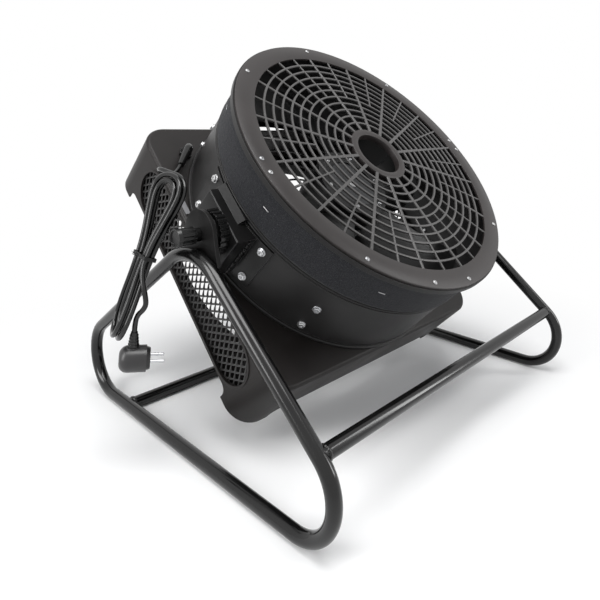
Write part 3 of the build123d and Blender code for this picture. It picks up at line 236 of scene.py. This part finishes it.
screw_zinc = material("screw_zinc", (0.26, 0.265, 0.275), (0.36, 0.36, 0.36), (0.34, 0.48), metal=0.95,
                      grain=1400, bump=0.25, depth=0.0001, edge=(0.50, 0.50, 0.50))
rotor_paint = material("rotor_paint", (0.045, 0.046, 0.048), (0.065, 0.066, 0.068), (0.40, 0.52),
                       metal=0.3, grain=700, bump=0.30, edge=(0.16, 0.16, 0.16))
stator_steel = material("stator_steel", (0.22, 0.22, 0.23), (0.32, 0.32, 0.33), (0.35, 0.50),
                        metal=0.8, broad=300, grain=2200, bump=0.4)
copper = material("copper", (0.62, 0.25, 0.10), (0.75, 0.33, 0.14), (0.30, 0.42), metal=0.9,
                  broad=60, grain=1500, bump=0.5)
can_metal = material("can_metal", (0.62, 0.63, 0.64), (0.72, 0.72, 0.73), (0.28, 0.38), metal=0.9,
                     grain=600, bump=0.15)
tape = material("tape", (0.003, 0.0035, 0.005), (0.009, 0.0095, 0.013), (0.70, 0.90), broad=420,
                grain=1500, bump=0.9, depth=0.0006, sheen=0.06, fleck=0.22, shine=0.25)
pale_strip_grey = material("pale_strip_grey", (0.20, 0.20, 0.21), (0.26, 0.26, 0.27), (0.45, 0.60),
                      grain=300, bump=0.10)
twist_wire = material("twist_wire", (0.010, 0.010, 0.010), (0.020, 0.020, 0.020), (0.45, 0.6),
                      grain=900, bump=0.3)

FINISHES = {
    "gloss_black_steel": gloss_paint,
    "black_bracket_steel": bracket_paint,
    "black_rubber": dull_rubber,
    "matt_black_steel": drum_paint,
    "hook_tape": tape,
    "black_plastic": black_plastic,
    "zinc_steel": zinc,
    "stator_iron": stator_steel,
    "rotor_iron": rotor_paint,
    "copper_winding": copper,
    "capacitor_can": can_metal,
}
OWN_FINISHES = {
    "housing_shell": housing_paint,
    "front_guard": guard_plastic,
    "fan_blades": blade_plastic,
    "strain_relief": cord_rubber,
    "plug_sleeve": cord_rubber,
    "mains_plug": plug_plastic,
}
for node_name, node in nodes.items():
    for holder in node.material_slots:
        holder.material = OWN_FINISHES.get(node_name, FINISHES[holder.material.name.split(".")[0]])


# ---------------------------------------------------------------- pieces
def piece(name, shape, body, finish, replaced=(), smooth=35.0):
    """Makes a named piece from a bmesh, and lets it ride a body."""
    bmesh.ops.recalc_face_normals(shape, faces=shape.faces)
    data = bpy.data.meshes.new(name)
    shape.to_mesh(data)
    shape.free()
    made = bpy.data.objects.new(name, data)
    scene.collection.objects.link(made)
    made.data.materials.append(finish)
    for polygon in data.polygons:
        polygon.use_smooth = True
    data.set_sharp_from_angle(angle=math.radians(smooth))
    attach(made, body)
    if replaced:
        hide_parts(*replaced)
    return made


def join_rings(shape, low, high):
    """Faces between two closed rings of as many points."""
    for here in range(len(low)):
        after = (here + 1) % len(low)
        shape.faces.new((low[here], low[after], high[after], high[here]))


def lathe(shape, centre, axis, profile, sides=48, start=None):
    """Turns (radius, height) points round an axis. A radius of 0 closes the end."""
    axis = axis.normalized()
    across = (start or axis.orthogonal()).normalized()
    aside = axis.cross(across)
    rings = []
    for radius, height in profile:
        middle = centre + axis * height
        if radius == 0:
            rings.append([shape.verts.new(middle)])
            continue
        turns = [2 * math.pi * side / sides for side in range(sides)]
        rings.append([
            shape.verts.new(middle + (across * math.cos(turn) + aside * math.sin(turn)) * radius)
            for turn in turns
        ])
    for low, high in zip(rings, rings[1:]):
        for side in range(sides):
            after = (side + 1) % sides
            corners = [low[side % len(low)], low[after % len(low)],
                       high[after % len(high)], high[side % len(high)]]
            unique = list(dict.fromkeys(corners))
            if len(unique) > 2:
                shape.faces.new(unique)


def bolt_head(shape, seat, axis, radius, height, turn):
    """A hexagon head with a turned washer face, a chamfered crown and a recess in its top."""
    lathe(shape, seat, axis, [(0, 0), (radius * 1.18, 0), (radius * 1.18, height * 0.22), (0, height * 0.22)])
    axis = axis.normalized()
    across = axis.orthogonal().normalized()
    across.rotate(Matrix.Rotation(turn, 3, axis))
    profile = [
        (0, height * 0.2), (radius, height * 0.2), (radius, height * 0.82), (radius * 0.88, height),
        (radius * 0.44, height), (radius * 0.40, height * 0.62), (0, height * 0.55),
    ]
    lathe(shape, seat, axis, profile, sides=6, start=across)


def screw_head(shape, seat, axis, radius, height, turn):
    """A low domed head with a cross recess."""
    profile = [(0, 0), (radius, 0), (radius, height * 0.28), (radius * 0.86, height * 0.62),
               (radius * 0.6, height * 0.88), (radius * 0.3, height), (0, height)]
    lathe(shape, seat, axis, profile, sides=24)
    axis = axis.normalized()
    across = axis.orthogonal().normalized()
    across.rotate(Matrix.Rotation(turn, 3, axis))
    for arm in (across, axis.cross(across)):
        side = axis.cross(arm)
        lift = seat + axis * (height * 1.01)
        corners = [
            lift + arm * radius * 0.5 * a + side * radius * 0.11 * b
            for a, b in ((1, 1), (-1, 1), (-1, -1), (1, -1))
        ]
        shape.faces.new([shape.verts.new(corner) for corner in corners])


# ---------------------------------------------------------------- mains lead
CORD_D = 0.007
LEAN = math.radians(40.7)
relief_dir = -UP * math.cos(LEAN) - ACROSS * math.sin(LEAN)
relief_end = head_point(-214, 184, -190) + (relief_dir + OUT) * 0.014 + relief_dir * 0.044

HANK_RUNS = 53
HANK_STEP = 22.5
HANK_START = -11.25
HANK_TOTAL = HANK_STEP * HANK_RUNS
HANK_CENTRE = Vector((-0.371, 0.029, 0.309))
HANK_HALF = 0.125
HANK_TWIST = -34
hank_up = Vector((0.34, -0.10, 0.93)).normalized()
hank_in = hank_up.cross(Vector((0.12, -0.98, -0.15))).normalized()
hank_across = hank_in.cross(hank_up)


def hank_point(swept):
    """Where the wound lead is after that many degrees of its figure-of-eight turns."""
    depth = min(swept, HANK_TOTAL - swept) / 360
    half_length = HANK_HALF - 0.009 * depth
    lobe = 0.084 - 0.020 * depth
    waist = 0.018 - 0.008 * depth
    turn = math.radians(swept + HANK_START)
    along = half_length * math.cos(turn)
    aside = math.sin(turn) * (lobe - (lobe - waist) * math.sin(turn) ** 2)
    climbed = min(max((swept - HANK_TOTAL / 2 + 90) / 180, 0), 1)
    twist = math.radians(HANK_TWIST) * (1 - along / HANK_HALF) / 2
    across = hank_across * math.cos(twist) + hank_in * math.sin(twist)
    through = hank_in * math.cos(twist) - hank_across * math.sin(twist)
    return HANK_CENTRE + hank_up * along + across * aside + through * 0.004 * (1 - 2 * climbed)


def make_cord():
    """The whole mains lead as one line: out of the gland, round the hank and down to the plug."""
    hank = [hank_point(HANK_STEP * step) for step in range(HANK_RUNS + 1)]
    hank[-1] = (hank[-2] + hank[-1]) / 2
    start_dir = (hank[1] - hank[0]).normalized()
    end_dir = (hank[-1] - hank[-2]).normalized()
    lead = [relief_end, relief_end + relief_dir * 0.022, Vector((-0.300, 0.092, 0.412)),
            hank[0] - start_dir * 0.030]
    tail = [hank[-1] + end_dir * 0.008]
    tail += [Vector(point) for point in (
        (-0.386, 0.007, 0.289), (-0.388, 0.001, 0.276), (-0.388, -0.004, 0.263),
        (-0.388, -0.006, 0.250), (-0.391, -0.001, 0.241), (-0.394, 0.006, 0.235),
        (-0.396, 0.011, 0.224), (-0.3965, 0.013, 0.209),
    )]
    points = lead + hank + tail
    data = bpy.data.curves.new("mains_lead", "CURVE")
    data.dimensions = "3D"
    data.bevel_depth = CORD_D / 2
    data.bevel_resolution = 5
    data.resolution_u = 8
    data.use_fill_caps = True
    line = data.splines.new("NURBS")
    line.points.add(len(points) - 1)
    for knot, point in zip(line.points, points):
        knot.co = (*point, 1)
    line.order_u = 3
    line.use_endpoint_u = True
    data.materials.append(cord_rubber)
    made = bpy.data.objects.new("mains_lead", data)
    scene.collection.objects.link(made)
    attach(made, "head")
    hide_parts("cord_lead", "cord_hank", "cord_tail")
    return made


mains_lead = make_cord()


# ---------------------------------------------------------------- hook tape round the drum
def make_band():
    """The tape with its uneven nap, a faint rib at each stitch and thin edges."""
    shape = bmesh.new()
    around = 900
    rows = 26
    rings = []
    for step in range(around):
        turn = 360 * step / around
        radial = outward(turn)
        ring = []
        for row in range(rows + 1):
            w = BAND_TOP + (BAND_FOOT - BAND_TOP) * row / rows
            spot = Vector((turn * 0.9, row * 2.1, 0))
            rough = noise.noise(spot * 1.9) * 0.00035 + noise.noise(spot * 0.35) * 0.00025
            rib = 0.00022 if step % 15 == 0 else 0
            edge = -0.0012 if row in (0, rows) else 0
            ring.append(shape.verts.new(FACE + radial * (BAND_R - 0.0003 + rough + rib + edge) + OUT * w))
        ring.append(shape.verts.new(FACE + radial * (DRUM_R + 0.0002) + OUT * BAND_FOOT))
        ring.append(shape.verts.new(FACE + radial * (DRUM_R + 0.0002) + OUT * BAND_TOP))
        rings.append(ring)
    for here, there in zip(rings, rings[1:] + rings[:1]):
        join_rings(shape, here, there)
    return piece("hook_tape_band", shape, "head", tape, ["hook_band"], smooth=70)


STAPLE_COUNT = 8
STAPLE_TURN = 12
STAPLE_W = -0.044


def make_staples():
    """Wire staples through the tape. The photo shows two, and their even spacing is a guess."""
    shape = bmesh.new()
    for step in range(STAPLE_COUNT):
        radial = outward(360 / STAPLE_COUNT * step + STAPLE_TURN)
        along = OUT.cross(radial)
        middle = FACE + radial * (BAND_R + 0.0002) + OUT * STAPLE_W
        path = [middle - along * 0.006 - radial * 0.0015, middle - along * 0.0055 + radial * 0.0002,
                middle + along * 0.0055 + radial * 0.0002, middle + along * 0.006 - radial * 0.0015]
        rings = []
        for point in path:
            rings.append([
                shape.verts.new(point + OUT * 0.0006 * math.cos(turn) + radial * 0.0005 * math.sin(turn))
                for turn in (math.pi / 4 * side for side in range(8))
            ])
        for low, high in zip(rings, rings[1:]):
            join_rings(shape, low, high)
        shape.faces.new(rings[0])
        shape.faces.new(rings[-1])
    return piece("band_staples", shape, "head", zinc)


# ---------------------------------------------------------------- guards
HUB_HOLE_R = 0.043
HUB_RING_R = 0.057
OPENING_R = 0.238
RIM_R = 0.2705
RING_COUNT = 10
HALF_SPOKE_RING = 5
SPOKE_COUNT = 16
GUARD_TURN = 1.5
REAR_W = -0.205
REAR_WIRE_R = 0.002
REAR_RING_R = 0.030
REAR_RING_STEP = 0.040
REAR_RING_COUNT = 6
WELD_GAP = 0.000005


def rounded_ring(shape, inner, outer, top, thick, edge):
    """A turned ring whose front corners are rounded off."""
    profile = [(inner, top - thick), (inner, top - edge), (inner + edge * 0.3, top - edge * 0.3),
               (inner + edge, top), (outer - edge, top), (outer - edge * 0.3, top - edge * 0.3),
               (outer, top - edge), (outer, top - thick), (inner, top - thick)]
    lathe(shape, FACE, OUT, profile, sides=192, start=ACROSS)


def rounded_bar(shape, angle, ends, widths, top, thick, edge):
    """A straight bar out from the axis, with its front corners taken off."""
    along = outward(angle)
    aside = OUT.cross(along)
    rings = []
    for radius, width in zip(ends, widths):
        half = width / 2
        corners = ((-half, top - thick), (-half, top - edge), (edge - half, top),
                   (half - edge, top), (half, top - edge), (half, top - thick))
        rings.append([shape.verts.new(FACE + along * radius + aside * side + OUT * w) for side, w in corners])
    join_rings(shape, *rings)
    for ring in rings:
        shape.faces.new(ring)


def make_front_grille():
    """The rim and the hub ring, and between them all ten rings, of which the solid has one."""
    shape = bmesh.new()
    rounded_ring(shape, OPENING_R, RIM_R, 0, 0.004, 0.0009)
    rounded_ring(shape, HUB_HOLE_R, HUB_RING_R, 0, 0.012, 0.0026)
    bmesh.ops.remove_doubles(shape, verts=shape.verts, dist=WELD_GAP)
    piece("front_grille", shape, "head", guard_plastic, ["front_guard"])

    shape = bmesh.new()
    step = (OPENING_R - HUB_RING_R) / (RING_COUNT + 1)
    for index in range(RING_COUNT):
        radius = HUB_RING_R + step * (index + 1)
        rounded_ring(shape, radius - 0.0018, radius + 0.0018, -0.0006, 0.003, 0.0007)
    half_start = HUB_RING_R + step * HALF_SPOKE_RING
    outer = OPENING_R + 0.001
    for spoke in range(SPOKE_COUNT):
        angle = GUARD_TURN + 360 / SPOKE_COUNT * spoke
        rounded_bar(shape, angle, (HUB_RING_R - 0.001, outer), (0.0060, 0.0042), -0.0005, 0.0031, 0.0008)
        rounded_bar(shape, angle + 180 / SPOKE_COUNT, (half_start, outer), (0.0032, 0.0032),
                    -0.0007, 0.0029, 0.0007)
    bmesh.ops.remove_doubles(shape, verts=shape.verts, dist=WELD_GAP)
    # The bars carry the lighter copy of the plastic, a painted highlight.
    return piece("grille_bars", shape, "head", bar_plastic_painted_highlight, ["front_guard"])


def make_rear_grille():
    """Six round wires on eight bars behind the drum. The solid has one of the six."""
    shape = bmesh.new()
    turns = [math.pi / 4 * side for side in range(9)]
    wire = [(math.cos(turn) * REAR_WIRE_R, math.sin(turn) * REAR_WIRE_R) for turn in turns]
    for index in range(REAR_RING_COUNT):
        radius = REAR_RING_R + REAR_RING_STEP * index
        profile = [(radius + across, REAR_W + along) for across, along in wire]
        lathe(shape, FACE, OUT, profile, sides=120, start=ACROSS)
    for bar in range(8):
        rounded_bar(shape, 22.5 + 45 * bar, (REAR_RING_R, DRUM_R), (0.004, 0.004), -0.203, 0.004, 0.001)
    bmesh.ops.remove_doubles(shape, verts=shape.verts, dist=WELD_GAP)
    return piece("rear_grille", shape, "head", drum_paint, ["rear_guard"])


# ---------------------------------------------------------------- intake mesh
CELL_LONG = 0.0205
CELL_SHORT = 0.0135
MESH_U = 0.2713
MESH_THICKNESS = 0.0011
RIM_CELL = ((0.5, 0), (0.25, 0.25), (0, 0.5), (-0.25, 0.25),
            (-0.5, 0), (-0.25, -0.25), (0, -0.5), (0.25, -0.25))


def in_slot(v, w, margin):
    """Whether a point lies in the round-ended window, grown by a margin."""
    straight = (WINDOW_LENGTH - WINDOW_HEIGHT) / 2
    over = max(abs(v - WINDOW_V) - straight, 0)
    return math.hypot(over, w - WINDOW_W) < WINDOW_HEIGHT / 2 + margin


def expanded_sheet(shape, middle, reach, inside, place):
    """Expanded metal: each cell is a frame of slanting strands round a diamond hole."""
    hole = [(across * 0.76, up * 0.70) for across, up in RIM_CELL]
    rows = int(2 * reach[1] / CELL_SHORT) + 4
    columns = int(reach[0] / CELL_LONG) + 3
    for row in range(-rows, rows + 1):
        for column in range(-columns, columns + 1):
            shift = 0.5 if row % 2 else 0
            across_mid = middle[0] + (column + shift) * CELL_LONG
            up_mid = middle[1] + row * CELL_SHORT / 2
            if not inside(across_mid, up_mid):
                continue
            rings = []
            for outline in (RIM_CELL, hole):
                rings.append([
                    shape.verts.new(place(
                        across_mid + across * CELL_LONG,
                        up_mid + up * CELL_SHORT,
                        0.0006 * math.sin(2 * math.pi * (across + 0.25)),
                    ))
                    for across, up in outline
                ])
            join_rings(shape, *rings)
    bmesh.ops.remove_doubles(shape, verts=shape.verts, dist=0.00005)


def make_side_mesh(side):
    """The expanded metal behind one side's window."""
    shape = bmesh.new()
    expanded_sheet(
        shape, (WINDOW_W, WINDOW_V), (WINDOW_HEIGHT / 2, WINDOW_LENGTH / 2),
        lambda w, v: in_slot(v, w, 0.007),
        lambda w, v, wave: FACE + ACROSS * side * (MESH_U + wave) + UP * v + OUT * w,
    )
    hand = "left" if side < 0 else "right"
    made = piece(f"{hand}_expanded_mesh", shape, "head", mesh_paint,
                 [f"{hand}_intake_mesh"])
    sheet = made.modifiers.new("sheet", "SOLIDIFY")
    sheet.thickness = MESH_THICKNESS
    sheet.offset = 0


# ---------------------------------------------------------------- back plate
# Only the scene has this plate. Its border is traced from the photo, and its middle is a guess.
BACK_V = -0.0085
BACK_OPENING_R = 0.2505
BACK_HALF = 0.2716
BACK_REACH = 0.2531
BACK_CORNER = 0.042
BACK_INNER_W = -0.2975
BACK_OUTER_W = -0.2995


def back_outline(turn):
    """How far the plate's rounded rectangle reaches in that direction."""
    across, up = abs(math.cos(turn)), abs(math.sin(turn))
    near, far = 0.2, 0.4
    for _ in range(30):
        tried = (near + far) / 2
        over_u = max(across * tried - BACK_HALF + BACK_CORNER, 0)
        over_v = max(up * tried - BACK_REACH + BACK_CORNER, 0)
        if math.hypot(over_u, over_v) < BACK_CORNER:
            near = tried
        else:
            far = tried
    return near


def make_back():
    """The plate over the housing's back, with its round opening."""
    shape = bmesh.new()
    rings = []
    for step in range(360):
        way = outward(step)
        middle = FACE + UP * BACK_V
        edge = max(back_outline(math.radians(step)), BACK_OPENING_R + 0.002)
        rings.append([
            shape.verts.new(middle + way * radius + OUT * w)
            for radius, w in (
                (BACK_OPENING_R, BACK_INNER_W), (edge, BACK_INNER_W), (edge, BACK_OUTER_W),
                (BACK_OPENING_R + 0.0006, BACK_OUTER_W), (BACK_OPENING_R, BACK_OUTER_W + 0.0006),
            )
        ])
    for here, there in zip(rings, rings[1:] + rings[:1]):
        join_rings(shape, here, there)
    return piece("back_plate", shape, "head", housing_paint)


# ---------------------------------------------------------------- small pieces
def tube(shape, points, radii, sides=10):
    """A closed tube along points, with a radius at each of them."""
    rings = []
    for index, point in enumerate(points):
        before = points[max(index - 1, 0)]
        after = points[min(index + 1, len(points) - 1)]
        along = (after - before).normalized()
        across = along.orthogonal().normalized()
        aside = along.cross(across)
        rings.append([
            shape.verts.new(point + (across * math.cos(turn) + aside * math.sin(turn)) * radii[index])
            for turn in (2 * math.pi * side / sides for side in range(sides))
        ])
    for low, high in zip(rings, rings[1:]):
        join_rings(shape, low, high)
    shape.faces.new(rings[0])
    shape.faces.new(rings[-1])


def make_tie_ends():
    """The twisted wire ends of the tie."""
    shape = bmesh.new()
    root = Vector((-0.3835, 0.022, 0.3125))
    for lean in ((-0.5, -0.5, 0.8), (-0.9, -0.3, 0.4), (-0.2, -0.7, 0.6), (-0.7, 0.2, 0.7)):
        way = Vector(lean).normalized()
        bend = way.orthogonal().normalized()
        points = [root + way * 0.0028 * step + bend * 0.0009 * math.sin(step * 1.4) for step in range(5)]
        tube(shape, points, [0.0009, 0.0008, 0.0007, 0.0006, 0.0004], sides=8)
    return piece("tie_ends", shape, "head", twist_wire, smooth=70)


def make_bracket_welds():
    """The rough weld along the foot of each saddle."""
    shape = bmesh.new()
    for side in (-1, 1):
        points = []
        radii = []
        for step in range(60):
            w = -98 - step * 1.3
            jitter = noise.noise(Vector((step * 0.37, side * 4.0, 0)))
            points.append(head_point(side * (267.0 + 0.6 * jitter), -72.0 + 0.8 * jitter, w))
            radii.append(0.0019 + 0.0007 * abs(math.sin(step * 0.9)) + 0.0003 * jitter)
        tube(shape, points, radii, sides=12)
    return piece("bracket_welds", shape, "head", bracket_paint, smooth=60)


def make_pale_strip():
    """A pale grey strip laid on the housing's panel, behind the lead."""
    shape = bmesh.new()
    corners = ((-269, 56), (-260, 56), (-260, 108), (-269, 108))
    low = [shape.verts.new(head_point(u, v, -199.9)) for u, v in corners]
    high = [shape.verts.new(head_point(u, v, -199.5)) for u, v in corners]
    shape.faces.new(low)
    shape.faces.new(high)
    join_rings(shape, low, high)
    return piece("blank_strip", shape, "head", pale_strip_grey)


# ---------------------------------------------------------------- bolts
BOLT_R = 0.0058
BOLT_HEIGHT = 0.0046
SHANK_R = 0.003
SHANK_LENGTH = 0.008
ARM_ANGLES = (45, 135, 225, 315)
ARM_ROWS = (-0.133, -0.179)
SCREW_R = 0.0038
SCREW_HEIGHT = 0.0019


def drum_bolt(shape, angle, radius, w, turn):
    """A bolt that stands on the drum's wall, with its shank inwards."""
    radial = outward(angle)
    seat = FACE + radial * radius + OUT * w
    bolt_head(shape, seat, radial, BOLT_R, BOLT_HEIGHT, turn)
    shank = [(0, 0), (SHANK_R, 0), (SHANK_R, SHANK_LENGTH), (0, SHANK_LENGTH)]
    lathe(shape, seat, -radial, shank, sides=16)


def make_bracket_bolts():
    """Four bolts through each saddle."""
    shape = bmesh.new()
    for turn in BRACKET_TURNS:
        for arc in (-BRACKET_ARC, BRACKET_ARC):
            for row in (-BRACKET_ROW, BRACKET_ROW):
                drum_bolt(shape, turn + arc, BRACKET_OUT_R, BRACKET_MID + row, turn + arc + row * 40)
    return piece("bracket_bolt_set", shape, "head", zinc, ["bracket_bolts"])


def make_arm_bolts():
    """Two bolts at the end of each motor arm."""
    shape = bmesh.new()
    for angle in ARM_ANGLES:
        for w in ARM_ROWS:
            drum_bolt(shape, angle, DRUM_R + 0.0001, w, angle + w * 90)
    return piece("arm_bolt_set", shape, "head", zinc, ["arm_bolts"])


def make_guard_screws():
    """The screws in the front guard's rim."""
    shape = bmesh.new()
    for angle in GUARD_SCREW_ANGLES:
        seat = FACE + outward(angle) * GUARD_SCREW_R
        screw_head(shape, seat, OUT, SCREW_R, SCREW_HEIGHT, math.radians(angle * 3))
    return piece("guard_screw_set", shape, "head", screw_zinc, ["guard_screws"])


# ---------------------------------------------------------------- welds of the stand
CROSSBAR_ENDS = ((-0.2795, 0.1254), (0.1829, 0.0102))
CROSSBAR_HALF = 0.3195
WELD_R = 0.0098
WELD_STEPS = 60
FLOOR_DIP = -0.84


def weld_ring(shape, centre, turn, near_floor):
    """One small ring of a bead round a crossbar's end. Near the floor it stays above it."""
    radial = Vector((0, math.cos(turn), math.sin(turn)))
    if near_floor:
        radial.z = max(radial.z, FLOOR_DIP)
    bead = 0.0017 + 0.0003 * math.sin(turn * 20)
    middle = centre + radial * WELD_R
    ring = []
    for part in range(8):
        lean = 2 * math.pi * part / 8
        along = Vector((1.5 * bead * math.sin(lean), 0, 0))
        ring.append(shape.verts.new(middle + radial * bead * math.cos(lean) * 0.9 + along))
    return ring


def make_welds():
    """Rippled beads where the crossbars meet the side loops."""
    shape = bmesh.new()
    for y, z in CROSSBAR_ENDS:
        for side in (-1, 1):
            centre = Vector((side * CROSSBAR_HALF, y, z))
            turns = [2 * math.pi * step / WELD_STEPS for step in range(WELD_STEPS)]
            rings = [weld_ring(shape, centre, turn, z < 0.05) for turn in turns]
            for here, there in zip(rings, rings[1:] + rings[:1]):
                join_rings(shape, here, there)
    return piece("crossbar_welds", shape, "stand", gloss_paint, smooth=80)


make_band()
make_staples()
make_front_grille()
make_rear_grille()
for mesh_side in (-1, 1):
    make_side_mesh(mesh_side)
make_back()
make_tie_ends()
make_bracket_welds()
make_pale_strip()
make_bracket_bolts()
make_arm_bolts()
make_guard_screws()
make_welds()


# ---------------------------------------------------------------- floor, lamps and background
FLOOR_HALF = 9
FLOOR_Z = -0.0003


def background_rays(tree):
    """1 for the rays that should meet a white background: from the camera, a mirror or a glass."""
    path = tree.nodes.new("ShaderNodeLightPath")
    level = path.outputs["Is Camera Ray"]
    for kind in ("Is Glossy Ray", "Is Transmission Ray"):
        either = tree.nodes.new("ShaderNodeMath")
        either.operation = "MAXIMUM"
        tree.links.new(level, either.inputs[0])
        tree.links.new(path.outputs[kind], either.inputs[1])
        level = either.outputs["Value"]
    return level


def make_floor():
    """A pale floor that keeps the shadow and fades to white further out."""
    shape = bmesh.new()
    signs = ((-1, -1), (1, -1), (1, 1), (-1, 1))
    corners = [Vector((x * FLOOR_HALF, y * FLOOR_HALF, FLOOR_Z)) for x, y in signs]
    shape.faces.new([shape.verts.new(corner) for corner in corners])
    data = bpy.data.meshes.new("floor")
    shape.to_mesh(data)
    shape.free()
    floor = bpy.data.objects.new("floor", data)
    scene.collection.objects.link(floor)

    paint = bpy.data.materials.new("floor_paint")
    paint.use_nodes = True
    tree = paint.node_tree
    new = tree.nodes.new
    link = tree.links.new
    tree.nodes.remove(tree.nodes["Principled BSDF"])
    matt = new("ShaderNodeBsdfDiffuse")
    matt.inputs["Color"].default_value = (0.93, 0.93, 0.93, 1)
    white = new("ShaderNodeEmission")
    white.inputs["Color"].default_value = (1, 1, 1, 1)
    place = new("ShaderNodeTexCoord").outputs["Object"]
    reach = new("ShaderNodeVectorMath")
    reach.operation = "LENGTH"
    link(place, reach.inputs[0])
    fade = new("ShaderNodeMapRange")
    fade.interpolation_type = "SMOOTHSTEP"
    fade.inputs["From Min"].default_value = 0.30
    fade.inputs["From Max"].default_value = 0.95
    link(reach.outputs["Value"], fade.inputs["Value"])
    share = new("ShaderNodeMath")
    share.operation = "MULTIPLY"
    link(background_rays(tree), share.inputs[0])
    link(fade.outputs["Result"], share.inputs[1])
    both = new("ShaderNodeMixShader")
    link(share.outputs["Value"], both.inputs["Fac"])
    link(matt.outputs["BSDF"], both.inputs[1])
    link(white.outputs["Emission"], both.inputs[2])
    link(both.outputs["Shader"], tree.nodes["Material Output"].inputs["Surface"])
    data.materials.append(paint)


def make_world():
    """Soft light all round, behind a background that is plain white."""
    world = bpy.data.worlds.new("studio")
    scene.world = world
    world.use_nodes = True
    tree = world.node_tree
    new = tree.nodes.new
    link = tree.links.new
    soft = tree.nodes["Background"]
    soft.inputs["Color"].default_value = (0.95, 0.97, 1, 1)
    soft.inputs["Strength"].default_value = 0.32
    white = new("ShaderNodeBackground")
    white.inputs["Color"].default_value = (1, 1, 1, 1)
    white.inputs["Strength"].default_value = 1
    both = new("ShaderNodeMixShader")
    link(background_rays(tree), both.inputs["Fac"])
    link(soft.outputs["Background"], both.inputs[1])
    link(white.outputs["Background"], both.inputs[2])
    link(both.outputs["Shader"], tree.nodes["World Output"].inputs["Surface"])


def make_lamp(name, place, aim, size, power):
    """A soft rectangular lamp that points at its aim."""
    data = bpy.data.lights.new(name, "AREA")
    data.shape = "RECTANGLE"
    data.size, data.size_y = size
    data.energy = power
    lamp = bpy.data.objects.new(name, data)
    lamp.location = place
    lamp.rotation_euler = (Vector(aim) - Vector(place)).to_track_quat("-Z", "Y").to_euler()
    scene.collection.objects.link(lamp)


make_floor()
make_world()
make_lamp("key", (-0.4, -0.5, 2.4), (0, 0, 0.3), (1.6, 1.2), 42)
make_lamp("left", (-2.1, 0.3, 1.3), (-0.2, 0, 0.35), (0.8, 1.8), 34)
make_lamp("right", (1.6, -1.7, 1.2), (0, 0, 0.3), (0.4, 1.6), 18)

bpy.context.view_layer.update()
